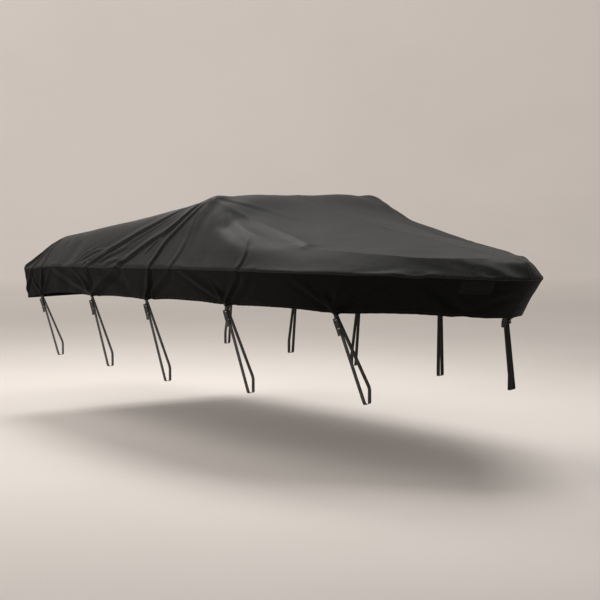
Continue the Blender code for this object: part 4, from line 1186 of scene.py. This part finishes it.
def panels(one, is_skirt, is_top, looks):
    """The top panel and the skirt of one side, cut from its skin and parted at the middle."""
    name = SIDE_NAMES[one.side]
    uv = np.stack([one.round_plan, one.height], axis=-1)
    top = one.points[:, is_top]
    one.skirt = (one.points - one.out * (CLOTH + GAP))[:, is_skirt]
    for grid in (top, one.skirt):
        half = grid * (1, one.side, 1)
        turned = CLOTH * np.abs(normals(half, closed=False)[..., 1])
        middle = half[..., 1] < SEAM
        grid[middle, 1] = one.side * (SEAM + turned[middle])
    one.skirt_out = one.out[:, is_skirt]
    one.from_hem = one.from_hem[:, is_skirt]
    made = cloth_shell("top_panel_" + name, one.side, top, one.out[:, is_top], np.full(is_top.sum(), CLOTH),
                       uv[:, is_top], looks["top"])
    sewn_on(made, "top_" + name, slot="cover_cloth")
    thick = CLOTH * (1 + np.clip((HEM_TURN - one.from_hem[0]) / 0.002 + 0.5, 0, 1))
    made = cloth_shell("skirt_panel_" + name, one.side, one.skirt, one.skirt_out, thick, uv[:, is_skirt],
                       looks["skirt"])
    sewn_on(made, "skirt_" + name, slot="cover_cloth")


def seam_stitches(one):
    """One row of stitches beside the middle seam: along the ridge, and down over the bow."""
    across = np.abs(one.points[..., 1])
    line, outs = [], []
    for c in range(2, len(across) - 1):
        order = across[c, ::-1]
        if order[0] < SEAM_STITCHES < order.max():
            i = len(order) - 1 - np.interp(SEAM_STITCHES, order[:8], np.arange(8))
            a, f = int(i), i - int(i)
            line.append(one.points[c, a] * (1 - f) + one.points[c, min(a + 1, len(order) - 1)] * f)
            outs.append(one.out[c, a])
    return stitches(np.array(line), np.array(outs))


def stitching(one):
    """All the stitches of one side: on the lap, on the hem, and beside the middle seam."""
    rows = []
    for below in LAP_STITCHES:
        line, out = row_at(one, below)
        rows.append(stitches(line[2:-2], out[2:-2]))
    hem = int(np.argmin(np.abs(one.from_hem[0] - HEM_STITCHES)))
    out = one.skirt_out[2:-2, hem]
    rows.append(stitches(one.skirt[2:-2, hem] + out * 0.0003, out))
    rows.append(seam_stitches(one))
    return joined(rows)


def main():
    """Dresses the part."""
    looks = {
        # one cloth in two copies: the top's lighter tones are painted light, the skirt's darker tones painted
        # shade
        "top": cover_cloth("cover_cloth_top_painted_lit", *TOP_TONES_PAINTED_LIT, roughness=0.60, sheen=0.04, shine=0.13),
        "skirt": cover_cloth("cover_cloth_skirt_painted_shade", *SKIRT_TONES_PAINTED_SHADE, roughness=0.66, sheen=0.01, shine=0.07),
        "patch": cover_cloth("patch_cloth_fine", *PATCH_TONES, roughness=0.62, sheen=0.03, shine=0.11),
        "web": webbing_cloth("webbing_fine", *WEB_TONES),
        "plastic": moulded_plastic("buckle_plastic_fine", (0.010, 0.010, 0.011)),
        "thread": thread("thread_black", (0.020, 0.020, 0.020)),
        "tack": thread("thread_grey", (0.16, 0.155, 0.15)),
    }
    studio()
    camera()
    columns = plan_columns()
    skirt_rows, top_rows = row_places(columns)
    rows = np.unique(np.concatenate([skirt_rows, top_rows]))
    sides, tacks = {}, []
    for side in (STARBOARD, PORT):
        one = sides[side] = Skin(side, columns, rows)
        panels(one, np.isin(rows, skirt_rows), np.isin(rows, top_rows), looks)
        tacks += [bar_tack(tie_down(one, tie, looks)) for tie in TIES]
    for side, one in sides.items():
        made = mesh_object("stitching_" + SIDE_NAMES[side], *stitching(one), looks["thread"])
        sewn_on(made, slot="cover_cloth")
    sewn_on(mesh_object("bar_tacks", *joined(tacks), looks["tack"]), slot="cover_cloth")
    bow_loop(sides, looks["web"])
    patch(sides[STARBOARD], looks["patch"], looks["thread"])


main()
